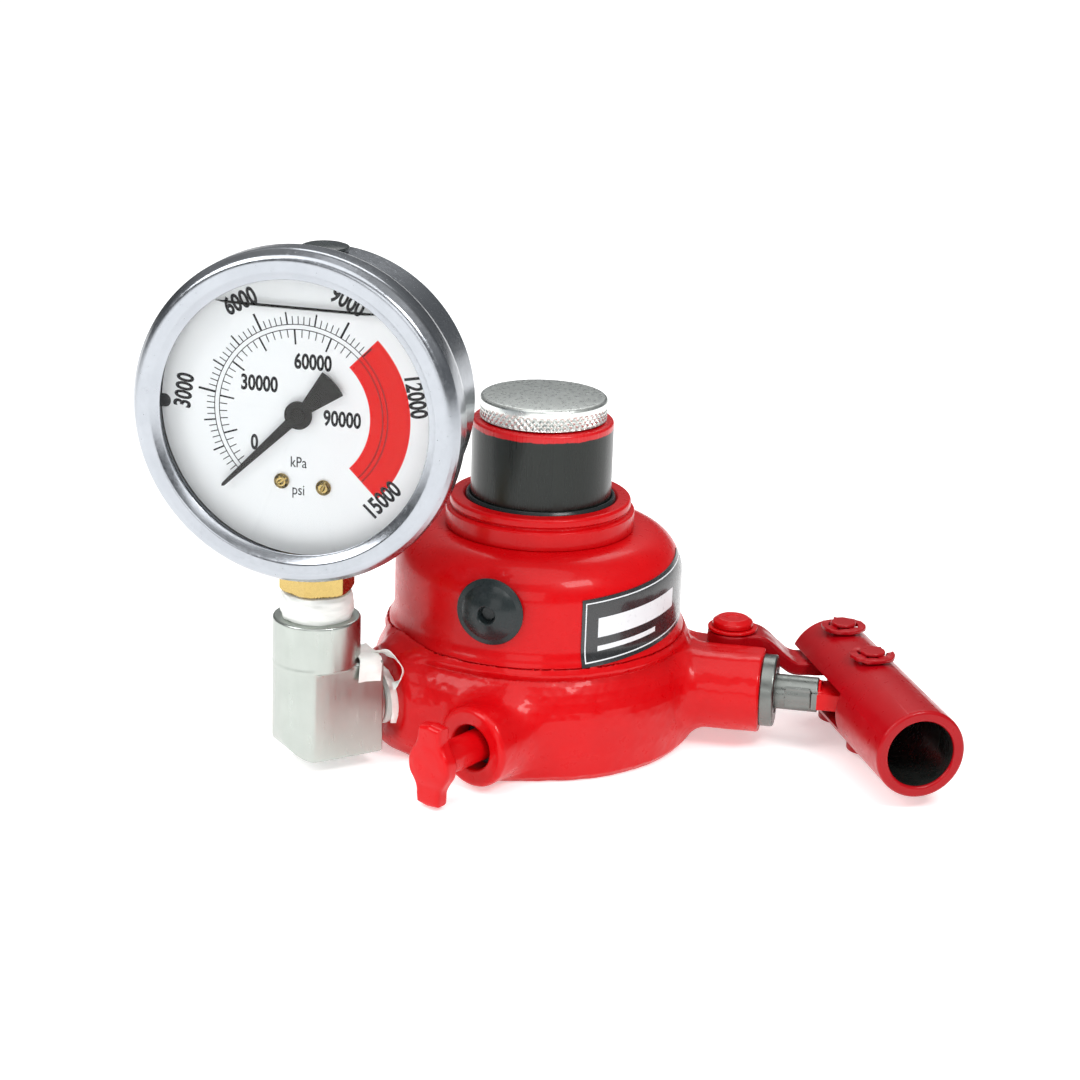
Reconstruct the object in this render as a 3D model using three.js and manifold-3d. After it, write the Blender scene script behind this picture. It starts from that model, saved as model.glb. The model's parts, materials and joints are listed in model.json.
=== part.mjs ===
// A short hydraulic bottle jack: its ram is raised by a side pump that a swinging handle socket drives,
// and a liquid-filled pressure gauge stands on an elbow in the base.
// Millimetres, +Z up. The origin is on the ram's axis, at the underside of the base.

import * as THREE from 'three';
import { mergeVertices } from 'three/addons/utils/BufferGeometryUtils.js';
import Module from 'manifold-3d';

const wasm = await Module();
wasm.setup();

// ---------------------------------------------------------------------------------------------
// Driving dimensions
// ---------------------------------------------------------------------------------------------

const fit = 0.3;                 // clearance left between pieces that touch on the real jack
const roundLarge = 32;           // facets round a large turned piece
const roundSmall = 16;           // facets round a pin, a hole or another small piece
const roundDrill = 8;            // facets round a hidden oil drilling

// Where the side pieces stand, as compass angles in degrees from +X
const pumpAngle = -24;
const elbowAngle = 197.4;
const gaugeFacing = -117.5;
const valveAngle = 218;
const fillerAngle = -121.5;
const labelAngle = -86.3;

// Base and oil reservoir
const baseRadius = 58.6;
const baseHeight = 40;
const floorHeight = 18;          // top of the base's floor, under the pressure cylinder
const housingRadius = 51.2;
const housingWall = 4;
const housingTop = 76;
const shoulderRadius = 15;
const skirtHeight = 7;           // the flare at the housing's foot
const skirtFlare = 10;           // radius of that flare
const fillerHeight = 59.5;
const fillerHole = 8;

// Lift: cylinder, ram and extension screw
const cylinderOuter = 33.5;
const cylinderInner = 28;
const ramRadius = 25;
const ramFoot = 19.5;
const ramTop = 115;
const ramNeck = 19.8;            // reduced end that carries the piston rings
const pistonTop = 29.6;
const screwRadius = 15.9;
const saddleRadius = 22.4;
const saddleBottom = 115.2;
const saddleTop = 123.3;
const nutFlange = 33.6;
const nutSkirt = 67;
const nutTop = 87.2;

// Pump, link and handle socket
const pumpHeight = 21;
const pumpBoss = 14.5;
const pumpFace = 83;             // distance of the boss's face from the ram's axis
const pumpCylinderStart = 42;
const plungerRadius = 6.25;
const plungerStart = 57;
const plungerPin = 121;          // distance of the plunger's pin from the ram's axis
const pinSpacing = 30.1;         // between the socket's two pins
const pinRadius = 4.5;
const linkBolt = { x: 69.4, y: 17.2 };   // along the pump's axis, and behind it
const linkLevel = 31.8;          // underside of the link where it is bolted down
const socketOuter = 15.75;
const socketInner = 11.8;
const socketLength = 93;
const socketBack = 12;           // how far the socket runs on behind the link's pin
const slotHalf = 6.7;            // half the height of the slot in the socket's side
const valveCheck = 38.5;         // distance of the two check valves from the ram's axis
const checkBall = 2.8;

// Release valve
const valveHeight = 15.7;
const valveOffset = 23.9;        // how far the valve's axis passes from the ram's axis
const valveFace = 64.7;
const valveSeat = 30;
const knobStart = 81;

// Elbow and gauge
const portHeight = 21.5;
const portFace = 60.6;
const stemDistance = 88;
const elbowTop = 55;
const elbowRadius = 15.15;
const gaugeHeight = 130.5;
const gaugeFront = 28;           // dial side of the bezel, ahead of the stem
const caseRadius = 50;
const caseBack = 17;
const bezelRadius = 56;
const bezelOpening = 46;
const dialRadius = 46.5;
const dialLevel = 17;            // back of the dial plate
const pointerLength = 37.8;
const sectorReach = 13;          // from the pointer's arbor to the sector's pivot
const sectorSide = 135;          // direction of that pivot, in degrees
const tailLength = 5;            // the sector's tail, which the tube pulls
const tailAngle = 170;
const tipLinkLength = 19;
const tipLinkAngle = 230;

// ---------------------------------------------------------------------------------------------
// Colours
// ---------------------------------------------------------------------------------------------

function material(color, roughness, metalness) {
  return new THREE.MeshStandardMaterial({ color, roughness, metalness });
}

const redPaint = material(0xc80f12, 0.3, 0);
const blackOxide = material(0x2d302d, 0.35, 0.8);
const brightZinc = material(0xd2d6d2, 0.35, 0.9);
const steel = material(0x8f9494, 0.35, 0.9);
const polished = material(0xc9cccc, 0.15, 1);
const brass = material(0xc8a64a, 0.3, 0.9);
const bronze = material(0xa8763c, 0.4, 0.9);
const blackRubber = material(0x3a4242, 0.6, 0);
const whiteTape = material(0xf2f2ee, 0.7, 0);
const whitePaint = material(0xf4f4f2, 0.5, 0);
const blackPaint = material(0x141414, 0.45, 0);
const clearGlass = material(0xdfe8ea, 0.05, 0);
const greenSeal = material(0x3c6b52, 0.6, 0);

// ---------------------------------------------------------------------------------------------
// Solids
// ---------------------------------------------------------------------------------------------

// Turns a closed three.js geometry into a solid that can be cut and joined.
function solid(geometry) {
  const bare = geometry.clone();
  bare.deleteAttribute('normal');
  bare.deleteAttribute('uv');
  const welded = mergeVertices(bare, 1e-4);
  const corners = [];
  const index = welded.index.array;
  for (let i = 0; i < index.length; i += 3) {
    const [a, b, c] = [index[i], index[i + 1], index[i + 2]];
    if (a !== b && b !== c && c !== a) corners.push(a, b, c);
  }
  return new wasm.Manifold(new wasm.Mesh({
    numProp: 3,
    vertProperties: new Float32Array(welded.attributes.position.array),
    triVerts: new Uint32Array(corners),
  }));
}

// Edges and slivers shorter than this are the leftovers of cuts, and are merged away.
const shortestEdge = 0.02;

function geometryOf(shape) {
  const mesh = shape.simplify(shortestEdge).getMesh();
  const geometry = new THREE.BufferGeometry();
  geometry.setAttribute('position', new THREE.BufferAttribute(new Float32Array(mesh.vertProperties), 3));
  geometry.setIndex([...mesh.triVerts]);
  const flat = geometry.toNonIndexed();
  flat.computeVertexNormals();
  return flat;
}

// Points of a round stretch of an outline, from one angle to another.
function arc(x, y, radius, from, to, steps) {
  const points = [];
  for (let i = 0; i <= steps; i += 1) {
    const angle = THREE.MathUtils.degToRad(from + (to - from) * i / steps);
    points.push([x + radius * Math.cos(angle), y + radius * Math.sin(angle)]);
  }
  return points;
}

// A solid of revolution about Z. The outline of (radius, height) points runs up its outer side.
function turned(outline, segments = roundLarge) {
  const closed = [...outline, outline[0]];
  const points = closed.map(([radius, height]) => new THREE.Vector2(radius, height));
  return solid(new THREE.LatheGeometry(points, segments).rotateX(Math.PI / 2));
}

function rod(radius, bottom, top, segments = roundSmall) {
  return turned([[0, bottom], [radius, bottom], [radius, top], [0, top]], segments);
}

// A rod that cuts a hole. It is turned a little, so that its facets don't line up with the work's.
function drill(radius, bottom, top, facets = roundSmall) {
  return rod(radius, bottom, top, facets).rotate([0, 0, 4]);
}

function ring(inner, outer, bottom, top, segments = roundLarge) {
  return turned([[inner, bottom], [outer, bottom], [outer, top], [inner, top]], segments);
}

function box(x0, x1, y0, y1, z0, z1) {
  const shape = new THREE.BoxGeometry(x1 - x0, y1 - y0, z1 - z0);
  return solid(shape.translate((x0 + x1) / 2, (y0 + y1) / 2, (z0 + z1) / 2));
}

// A flat plate with the given outline, standing on Z = bottom.
function plate(outline, bottom, top) {
  const shape = new THREE.Shape(outline.map(([x, y]) => new THREE.Vector2(x, y)));
  const extruded = new THREE.ExtrudeGeometry(shape, { depth: top - bottom, bevelEnabled: false });
  return solid(extruded.translate(0, 0, bottom));
}

// A bar with round ends, from the origin to x = length.
function stadium(radius, length, bottom, top) {
  const outline = [...arc(length, 0, radius, -90, 90, 10), ...arc(0, 0, radius, 90, 270, 10)];
  return plate(outline, bottom, top);
}

function polygon(radius, sides) {
  return arc(0, 0, radius, 0, 360 - 360 / sides, sides - 1);
}

// Lays a solid made along Z on its side, pointing outwards from the ram's axis.
function lying(shape, angle, height) {
  return shape.rotate([0, 90, 0]).rotate([0, 0, angle]).translate([0, 0, height]);
}

// Turns a solid made in plan view to its compass angle.
function inPlan(shape, angle) {
  return shape.rotate([0, 0, angle]);
}

// ---------------------------------------------------------------------------------------------
// Scene graph
// ---------------------------------------------------------------------------------------------

const jack = new THREE.Group();

function add(group, name, shape, look) {
  const mesh = new THREE.Mesh(geometryOf(shape), look);
  mesh.name = name;
  group.add(mesh);
  return mesh;
}

// A group whose +X points outwards at a compass angle, for pieces drawn in plan view.
function planGroup(angle) {
  const group = new THREE.Group();
  group.rotation.z = THREE.MathUtils.degToRad(angle);
  jack.add(group);
  return group;
}

// A group whose +Z points outwards at a compass angle, for pieces turned about a lying axis.
function lyingGroup(angle, height) {
  const group = new THREE.Group();
  group.rotation.set(0, Math.PI / 2, THREE.MathUtils.degToRad(angle), 'ZYX');
  group.position.z = height;
  jack.add(group);
  return group;
}

// ---------------------------------------------------------------------------------------------
// Base casting
// ---------------------------------------------------------------------------------------------

// A round boss that widens towards the base's wall.
function boss(radius, face, flare = 6) {
  const root = 48;
  const outline = [[0, root - 8], [radius + flare, root - 8], [radius + flare, root]];
  const flank = arc(radius + flare, root + flare * 2, flare, 270, 180, 3);
  return turned([...outline, ...flank, [radius, face - 1.5], [radius - 1.5, face], [0, face]], 24);
}

// The ear beside the pump's boss, which the link is bolted to.
function linkEar() {
  const outer = 79;
  const back = 26;
  const corner = 8;
  const outline = [[45, 4], [outer, 4], ...arc(outer - corner, back - corner, corner, 0, 90, 6), [45, back]];
  return plate(outline, 12, linkLevel - 2 * fit);
}

// The round body of the base, with the seat of the pressure cylinder and the groove of the gasket.
function baseShell() {
  const wallTop = 22;
  const lean = 35;
  const end = THREE.MathUtils.radToDeg(Math.asin((baseHeight - wallTop) / lean));
  const belly = arc(baseRadius - lean, wallTop, lean, 0, end, 4);
  const seat = cylinderOuter + fit;
  const grooveFloor = baseHeight - 1.6;
  return turned([
    [0, 0], [55.5, 0], [57.4, 2.5], [baseRadius, 10], ...belly, [50.6, baseHeight], [50.6, grooveFloor],
    [47.4, grooveFloor], [47.4, baseHeight], [seat, baseHeight], [seat, floorHeight], [0, floorHeight],
  ]);
}

function pumpDrillings() {
  const socket = lying(drill(10.9, pumpCylinderStart, pumpFace + 1), pumpAngle, pumpHeight);
  const chamber = lying(drill(3.8, 34.9, pumpCylinderStart + 1, 12), pumpAngle, pumpHeight);
  const inlet = drill(3.4, pumpHeight, 31, 12).add(drill(2, 30, baseHeight + 1, roundDrill));
  const outlet = drill(2, 12, pumpHeight, roundDrill).add(drill(3.5, -1, 14, 12));
  const checks = inPlan(inlet.add(outlet).translate([valveCheck, 0, 0]), pumpAngle);
  const gallery = lying(drill(2, 18, valveCheck, roundDrill), pumpAngle, 9);
  const riser = inPlan(drill(2, 9, floorHeight + 1, roundDrill).translate([20, 0, 0]), pumpAngle);
  const linkSeat = inPlan(box(56, 99, 5, 40, linkLevel - fit, 60), pumpAngle);
  const boltHole = inPlan(drill(4, 14, 40, 12).translate([linkBolt.x, linkBolt.y, 0]), pumpAngle);
  return [socket, chamber, checks, gallery, riser, linkSeat, boltHole];
}

function valveDrillings() {
  const bore = drill(8, valveFace - 14, valveFace + 1).add(drill(4.6, valveSeat, valveFace, 12));
  const gallery = drill(1.6, 4, valveSeat + 1, roundDrill);
  const along = lying(bore.add(gallery).translate([0, valveOffset, 0]), valveAngle, valveHeight);
  const riser = drill(1.6, valveHeight, floorHeight + 1, roundDrill).translate([5, valveOffset, 0]);
  const back = drill(1.9, valveHeight, baseHeight + 1, roundDrill).translate([valveSeat + 4, valveOffset, 0]);
  return [along, inPlan(riser.add(back), valveAngle)];
}

function portDrillings() {
  const socket = lying(drill(9.1, 45, portFace + 1, 24), elbowAngle, portHeight);
  const gallery = lying(drill(1.6, 22, 46, roundDrill), elbowAngle, 15.5);
  const riser = inPlan(drill(1.6, 15.5, floorHeight + 1, roundDrill).translate([24, 0, 0]), elbowAngle);
  return [socket, gallery, riser];
}

function baseCasting() {
  const valveBoss = turned([
    [0, 34], [13.5, 34], [13.5, valveFace - 1.5], [12.2, valveFace], [0, valveFace],
  ], 24);
  const bosses = [
    lying(boss(pumpBoss, pumpFace), pumpAngle, pumpHeight),
    inPlan(linkEar(), pumpAngle),
    lying(boss(16.5, portFace, 4.5), elbowAngle, portHeight),
    lying(valveBoss.translate([0, valveOffset, 0]), valveAngle, valveHeight),
  ];
  const housingFoot = drill(53.6, baseHeight - 4, 70, roundLarge);
  const outside = wasm.Manifold.union(bosses).subtract(housingFoot);
  const drillings = [...pumpDrillings(), ...valveDrillings(), ...portDrillings()];
  return baseShell().add(outside).subtract(wasm.Manifold.union(drillings));
}

add(jack, 'base_casting', baseCasting(), redPaint);

// ---------------------------------------------------------------------------------------------
// Oil reservoir housing, filler plug and name plate
// ---------------------------------------------------------------------------------------------

const shoulderStart = housingTop - shoulderRadius;

// Radius of the housing's outer side at a height above its flared foot.
function housingRadiusAt(height) {
  const skirtEnd = baseHeight + skirtHeight;
  if (height < skirtEnd) {
    const drop = Math.min(skirtEnd - height, 6);
    return housingRadius + skirtFlare - Math.sqrt(skirtFlare ** 2 - drop ** 2);
  }
  if (height <= shoulderStart) return housingRadius;
  const rise = height - shoulderStart;
  return housingRadius - shoulderRadius + Math.sqrt(shoulderRadius ** 2 - rise ** 2);
}

function reservoirHousing() {
  const centre = housingRadius - shoulderRadius;
  const foot = housingRadiusAt(baseHeight);
  const inner = housingRadius - housingWall;
  const lip = 3;
  const shell = turned([
    [inner, baseHeight],
    [foot, baseHeight],
    ...arc(housingRadius + skirtFlare, baseHeight + skirtHeight, skirtFlare, 217, 180, 3),
    ...arc(centre, shoulderStart, shoulderRadius, 0, 90, 6),
    [cylinderInner + fit, housingTop],
    [cylinderInner + fit, housingTop - lip],
    ...arc(centre, shoulderStart + 1, shoulderRadius - housingWall, 90, 0, 4),
  ]);
  return shell.subtract(lying(drill(fillerHole, 40, 60), fillerAngle, fillerHeight));
}

function fillerPlug() {
  const seat = housingRadius + 0.9;
  const dome = arc(0, seat - 14, 18.6, 50, 84, 3);
  return turned([
    [0, 43], [fillerHole - 1.3, 43], [fillerHole - fit, 46], [fillerHole - fit, seat],
    [12, seat], ...dome, [1.7, seat + 3], [0, seat + 3],
  ], 24);
}

// The name plate is a strip bent round the housing, rising slightly to the right.
function namePlate() {
  const length = 62;
  const height = 23.7;
  const rise = 5.2;
  const strip = new THREE.BoxGeometry(length, 0.35, height, 16, 1, 6);
  const position = strip.attributes.position;
  for (let i = 0; i < position.count; i += 1) {
    const along = position.getX(i) / length + 0.5;
    const level = baseHeight + 0.4 + height / 2 + position.getZ(i) + rise * along;
    const radius = housingRadiusAt(level) + 0.35 - position.getY(i);
    const angle = THREE.MathUtils.degToRad(labelAngle) + along * length / housingRadius;
    position.setXYZ(i, radius * Math.cos(angle), radius * Math.sin(angle), level);
  }
  return solid(strip);
}

add(jack, 'reservoir_housing', reservoirHousing(), redPaint);
add(jack, 'base_gasket', ring(47.6, 50.4, baseHeight - 1.5, baseHeight - 0.1), blackRubber);
add(jack, 'name_plate', namePlate(), blackPaint);
const fillerSide = lyingGroup(fillerAngle, fillerHeight);
add(fillerSide, 'filler_plug', fillerPlug(), blackRubber);

// ---------------------------------------------------------------------------------------------
// Lift: pressure cylinder, ram, piston rings, top nut and extension screw
// ---------------------------------------------------------------------------------------------

function ram() {
  const groove = 18.4;
  const bore = screwRadius + fit;
  return turned([
    [0, ramFoot], [ramNeck - 0.8, ramFoot], [ramNeck, ramFoot + 0.8],
    [ramNeck, 20.6], [groove, 20.6], [groove, 22.2], [ramNeck, 22.2],
    [ramNeck, pistonTop], [ramRadius, pistonTop], [ramRadius, ramTop - 1], [ramRadius - 1, ramTop],
    [bore, ramTop], [bore, 64], [0, 58],
  ]);
}

function topNut() {
  const bore = ramRadius + fit;
  return turned([
    [bore, nutSkirt], [cylinderInner - fit, nutSkirt], [cylinderInner - fit, housingTop],
    [nutFlange, housingTop], [nutFlange, 82.4], [nutFlange - 0.6, 83], [31.6, 83], [31.6, 84],
    [32.2, 84], [32.2, nutTop - 0.6], [31.6, nutTop], [26.9, nutTop], [26.9, 83.4], [bore, 83.4],
    [bore, 80.2], [27.2, 80.2], [27.2, 77.6], [bore, 77.6],
  ]);
}

function wiperSeal() {
  return turned([[25.2, 83.7], [26.6, 83.7], [26.6, 87.2], [25.8, 87.9], [25.2, 87.6]]);
}

// The extension screw ends in the knurled saddle that meets the load.
function extensionScrew() {
  const rim = 1.2;
  return turned([
    [0, 66], [screwRadius - 2, 66], [screwRadius, 68], [screwRadius, saddleBottom], [saddleRadius - 0.6, saddleBottom],
    [saddleRadius, saddleBottom + 0.6], [saddleRadius, saddleTop - 2], [saddleRadius - rim, saddleTop - 0.6],
    [saddleRadius - rim - 0.8, saddleTop], [0, saddleTop],
  ]);
}

// A ring with a gap in its side, such as a snap ring or an E-shaped clip.
function splitRing(inner, outer, bottom, top, gap, segments = 20) {
  return ring(inner, outer, bottom, top, segments).subtract(box(0, outer + 1, -gap / 2, gap / 2, bottom - 1, top + 1));
}

add(jack, 'cylinder_washer', ring(cylinderInner + 0.6, cylinderOuter - fit, floorHeight, 19), bronze);
add(jack, 'pressure_cylinder', ring(cylinderInner, cylinderOuter, 19, housingTop - 3), steel);
add(jack, 'top_nut', topNut(), redPaint);
add(jack, 'ram_o_ring', ring(25.2, 27, 77.8, 80), blackRubber);
add(jack, 'wiper_seal', wiperSeal(), blackRubber);
add(jack, 'ram', ram(), blackOxide);
add(jack, 'piston_snap_ring', splitRing(18.9, 22, 20.8, 22, 8), steel);
add(jack, 'piston_seal', ring(20, 27.7, 22.3, 26), greenSeal);
add(jack, 'piston_ring', ring(20, 27.6, 26.2, pistonTop - 0.2), bronze);
add(jack, 'extension_screw', extensionScrew(), brightZinc);

// ---------------------------------------------------------------------------------------------
// Side pump and its check valves
// ---------------------------------------------------------------------------------------------

function pumpCylinder() {
  return turned([
    [plungerRadius + 0.25, pumpCylinderStart], [10.6, pumpCylinderStart], [10.6, pumpFace],
    [12.9, pumpFace], [12.9, pumpFace + 4], [11.9, pumpFace + 5], [plungerRadius + 1.9, pumpFace + 5],
    [plungerRadius + 1.9, pumpFace + 1.4], [plungerRadius + 0.25, pumpFace + 1.4],
    [plungerRadius + 0.25, 78], [8.6, 78], [8.6, 72], [plungerRadius + 0.25, 72],
  ], 24);
}

// The plunger is round inside the pump, has two milled flats, and ends in a flat eye for its pin.
function plunger() {
  const tongueStart = 103;
  const tongueHalf = 3;
  const roundPart = lying(rod(plungerRadius, plungerStart, tongueStart, 24), 0, 0);
  const flats = box(92, tongueStart + 1, 5.2, 9, -9, 9).add(box(92, tongueStart + 1, -9, -5.2, -9, 9));
  const tongue = stadium(7.5, plungerPin - tongueStart + 2, -tongueHalf, tongueHalf).translate([tongueStart - 2, 0, 0]);
  const square = box(tongueStart - 12, tongueStart - 2, -8, 8, -8, 8);
  const eye = rod(pinRadius + fit, -9, 9).translate([plungerPin, 0, 0]);
  return roundPart.subtract(flats).add(tongue.subtract(square)).subtract(eye);
}

// A coil spring: a round wire along a helix about Z.
function spring(coilRadius, wireRadius, bottom, top, turns) {
  const steps = turns * 8;
  const points = [];
  for (let i = 0; i <= steps; i += 1) {
    const angle = i / steps * turns * 2 * Math.PI;
    const height = bottom + (top - bottom) * i / steps;
    points.push(new THREE.Vector3(coilRadius * Math.cos(angle), coilRadius * Math.sin(angle), height));
  }
  const wire = new THREE.Shape(polygon(wireRadius, 5).map(([x, y]) => new THREE.Vector2(x, y)));
  const path = new THREE.CatmullRomCurve3(points);
  return solid(new THREE.ExtrudeGeometry(wire, { steps, extrudePath: path, bevelEnabled: false }));
}

function ball(radius, height) {
  return turned([[0, height - radius], ...arc(0, height, radius, -67, 67, 5), [0, height + radius]], 14);
}

const pumpPlan = planGroup(pumpAngle);
const pumpAxis = new THREE.Group();
pumpAxis.position.z = pumpHeight;
pumpPlan.add(pumpAxis);
const pumpLying = lyingGroup(pumpAngle, pumpHeight);
const checkValves = new THREE.Group();
checkValves.position.x = valveCheck;
pumpPlan.add(checkValves);

add(pumpLying, 'pump_cylinder', pumpCylinder(), steel);
add(pumpLying, 'plunger_seal', ring(plungerRadius + 0.3, 8.4, 72.3, 77.7, 24), greenSeal);
add(pumpLying, 'plunger_wiper', ring(plungerRadius + 0.3, 8, pumpFace + 1.7, pumpFace + 4.6, 24), blackRubber);
add(pumpAxis, 'plunger', plunger(), steel);
add(checkValves, 'inlet_ball', ball(checkBall, 28.8), steel);
add(checkValves, 'inlet_spring', spring(2.1, 0.3, 18.2, 25.4, 3), steel);
add(checkValves, 'outlet_ball', ball(checkBall, 11.9), steel);
add(checkValves, 'outlet_spring', spring(2.2, 0.35, 4.7, 8.5, 2), steel);
add(checkValves, 'outlet_plug', rod(3.2, 0.6, 4.2, 12), brass);
add(checkValves, 'inlet_filter', ring(2.4, 3.6, baseHeight + 0.1, baseHeight + 1.4, 16), brass);

// ---------------------------------------------------------------------------------------------
// Handle socket, its pins, and the link that holds it to the base
// ---------------------------------------------------------------------------------------------

const turn = THREE.MathUtils.degToRad(pumpAngle);
const plungerPinX = plungerPin * Math.cos(turn);
const plungerPinY = plungerPin * Math.sin(turn);
// The link's pin, measured along the pump's axis and behind it
const linkPin = {
  x: plungerPin + pinSpacing * Math.cos(Math.PI / 2 - turn),
  y: pinSpacing * Math.sin(Math.PI / 2 - turn),
};

// The socket is drawn with the plunger's pin at the origin and its mouth towards -Y.
function handleSocket() {
  const back = pinSpacing + socketBack;
  const tube = ring(socketInner, socketOuter, -back, socketLength - back, 28).rotate([90, 0, 0]);
  const slot = box(-socketOuter - 2, -4, -9, back + 1, -slotHalf, slotHalf);
  const pinHole = rod(pinRadius + fit, -20, 20);
  const holes = pinHole.add(pinHole.translate([0, pinSpacing, 0]));
  return tube.subtract(slot).subtract(holes);
}

// A pin with a flat head underneath and a groove for a clip at its top end.
function pin() {
  const head = -socketOuter - 3;
  const grooveLow = socketOuter + 0.5;
  return turned([
    [0, head], [6.2, head], [6.8, head + 0.6], [6.8, head + 2.6], [pinRadius, head + 2.6],
    [pinRadius, grooveLow], [3.4, grooveLow], [3.4, grooveLow + 1.5], [pinRadius, grooveLow + 1.5],
    [pinRadius, grooveLow + 2.6], [pinRadius - 0.7, grooveLow + 3.2], [0, grooveLow + 3.2],
  ], 16);
}

function pinClip() {
  return splitRing(3.6, 8.2, socketOuter + 0.7, socketOuter + 1.8, 4.5, 16);
}

// The link's bar runs level over the base's ear and steps down into the socket's slot.
function link() {
  const length = Math.hypot(linkPin.x - linkBolt.x, linkPin.y - linkBolt.y);
  const thickness = 4.8;
  const low = pumpHeight + 0.4;
  const side = [
    [-12, linkLevel], [9, linkLevel], [22.5, low], [length + 12, low], [length + 12, low + thickness],
    [23.5, low + thickness], [10, linkLevel + thickness], [-12, linkLevel + thickness],
  ];
  const bar = stadium(7.6, length, 0, 60);
  const eyes = rod(9, 0, 60).add(rod(9.4, 0, 60).translate([length, 0, 0]));
  const profile = plate(side, -12, 12).rotate([90, 0, 0]);
  const boltHole = rod(pinRadius + fit, 0, 60);
  const looseHole = rod(pinRadius + 1.5, 0, 60).translate([length, 0, 0]);
  return bar.add(eyes).intersect(profile).subtract(boltHole).subtract(looseHole);
}

function linkBoltShape() {
  const under = linkLevel + 4.8 + 1.6;
  return turned([
    [0, 15], [3.7, 15], [3.7, linkLevel - 0.2], [pinRadius - 0.2, linkLevel - 0.2], [pinRadius - 0.2, under], [8, under],
    [8, under + 2.2], [6.6, under + 3.6], [0, under + 4],
  ], 18);
}

const socketGroup = new THREE.Group();
socketGroup.position.set(plungerPinX, plungerPinY, pumpHeight);
jack.add(socketGroup);
const boltGroup = new THREE.Group();
boltGroup.position.set(linkBolt.x, linkBolt.y, 0);
pumpPlan.add(boltGroup);

add(socketGroup, 'handle_socket', handleSocket(), redPaint);
add(socketGroup, 'plunger_pin', pin(), redPaint);
add(socketGroup, 'plunger_pin_clip', pinClip(), redPaint);
add(socketGroup, 'link_pin', pin(), redPaint).position.y = pinSpacing;
add(socketGroup, 'link_pin_clip', pinClip(), redPaint).position.y = pinSpacing;

add(boltGroup, 'link', link(), redPaint).rotation.z = Math.atan2(linkPin.y - linkBolt.y, linkPin.x - linkBolt.x);
add(boltGroup, 'link_bolt', linkBoltShape(), redPaint);
add(boltGroup, 'link_washer', ring(pinRadius + 0.2, 9, linkLevel + 5.1, linkLevel + 6.3, 18), redPaint);

// ---------------------------------------------------------------------------------------------
// Release valve
// ---------------------------------------------------------------------------------------------

function releaseValve() {
  const stem = turned([
    [0, valveSeat + 6.4], [3, valveSeat + 6.4], [4.2, valveSeat + 8], [4.2, valveFace - 13.4], [5.6, valveFace - 13.4],
    [5.6, valveFace - 10], [4.3, valveFace - 10], [4.3, valveFace - 7.2], [5.6, valveFace - 7.2],
    [5.6, knobStart], [0, knobStart],
  ], 18);
  const wing = stadium(4.2, 21.6, knobStart - 0.5, knobStart + 6).translate([-10.8, 0, 0]);
  const hub = rod(8, knobStart - 0.5, knobStart + 6, 20);
  return stem.add(wing).add(hub);
}

const valveGroup = lyingGroup(valveAngle, valveHeight);
const valveAxis = new THREE.Group();
valveAxis.position.y = valveOffset;
valveGroup.add(valveAxis);
add(valveAxis, 'release_valve', releaseValve(), redPaint);
add(valveAxis, 'release_o_ring', ring(4.5, 7.4, valveFace - 9.8, valveFace - 7.4, 18), blackRubber);
add(valveAxis, 'release_ball', ball(3.2, valveSeat + 3), steel);

// ---------------------------------------------------------------------------------------------
// Elbow
// ---------------------------------------------------------------------------------------------

// A forged post with a block at its foot that has two flat sides, and a threaded arm into the base.
function elbow() {
  const bottom = 5.6;
  const shoulder = 38;
  const flat = 12.1;
  const inner = stemDistance - 19.4;
  const outer = stemDistance + elbowRadius;
  const corner = 10;
  const post = turned([
    [0, bottom - 1], [elbowRadius, bottom - 1], [elbowRadius, elbowTop - 1.2], [elbowRadius - 1.2, elbowTop],
    [10.9, elbowTop], [10.9, shoulder + 2], [0, shoulder + 2],
  ], 28).translate([stemDistance, 0, 0]);
  const block = box(inner - 1, stemDistance, -flat - 1, flat + 1, bottom - 1, shoulder);
  const side = [
    [inner, bottom], ...arc(outer - corner, bottom + corner, corner, -90, -12, 5), [outer + 1, bottom + corner + 2],
    [outer + 1, elbowTop + 1], [inner, elbowTop + 1],
  ];
  const profile = plate(side, -elbowRadius - 1, elbowRadius + 1).rotate([90, 0, 0]);
  const flats = [-1, 1].map((way) => (
    box(inner - 2, outer + 2, flat, flat + 9, 0, shoulder).translate([0, way < 0 ? -2 * flat - 9 : 0, 0])
  ));
  const arm = turned([
    [0, 45.3], [7.9, 45.3], [8.4, 46.5], [8.4, 66], [10.7, 66.4], [11.4, 67.4], [11.4, inner + 2], [0, inner + 2],
  ], 24);
  const down = drill(4, portHeight, elbowTop, 12);
  const passage = lying(drill(4, 40, stemDistance + 0.5, 12), 0, portHeight);
  return post.add(block)
    .intersect(profile)
    .subtract(wasm.Manifold.union(flats))
    .add(lying(arm, 0, portHeight))
    .subtract(down.translate([stemDistance, 0, 0]))
    .subtract(passage);
}

// Tape wound on the elbow's thread, bunched up where the thread goes in.
function portTape() {
  return turned([
    [8.5, 50], [8.8, 50], [8.8, portFace + fit], [9.5, portFace + fit], [9.5, portFace + 3], [8.5, portFace + 3],
  ], 24);
}

const elbowPlan = planGroup(elbowAngle);
const elbowLying = lyingGroup(elbowAngle, portHeight);
add(elbowPlan, 'elbow', elbow(), brightZinc);
add(elbowLying, 'port_tape', portTape(), whiteTape);

// ---------------------------------------------------------------------------------------------
// Pressure gauge. Its pieces are drawn as the reader sees the dial: X right, Y up, Z towards the reader.
// ---------------------------------------------------------------------------------------------

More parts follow.
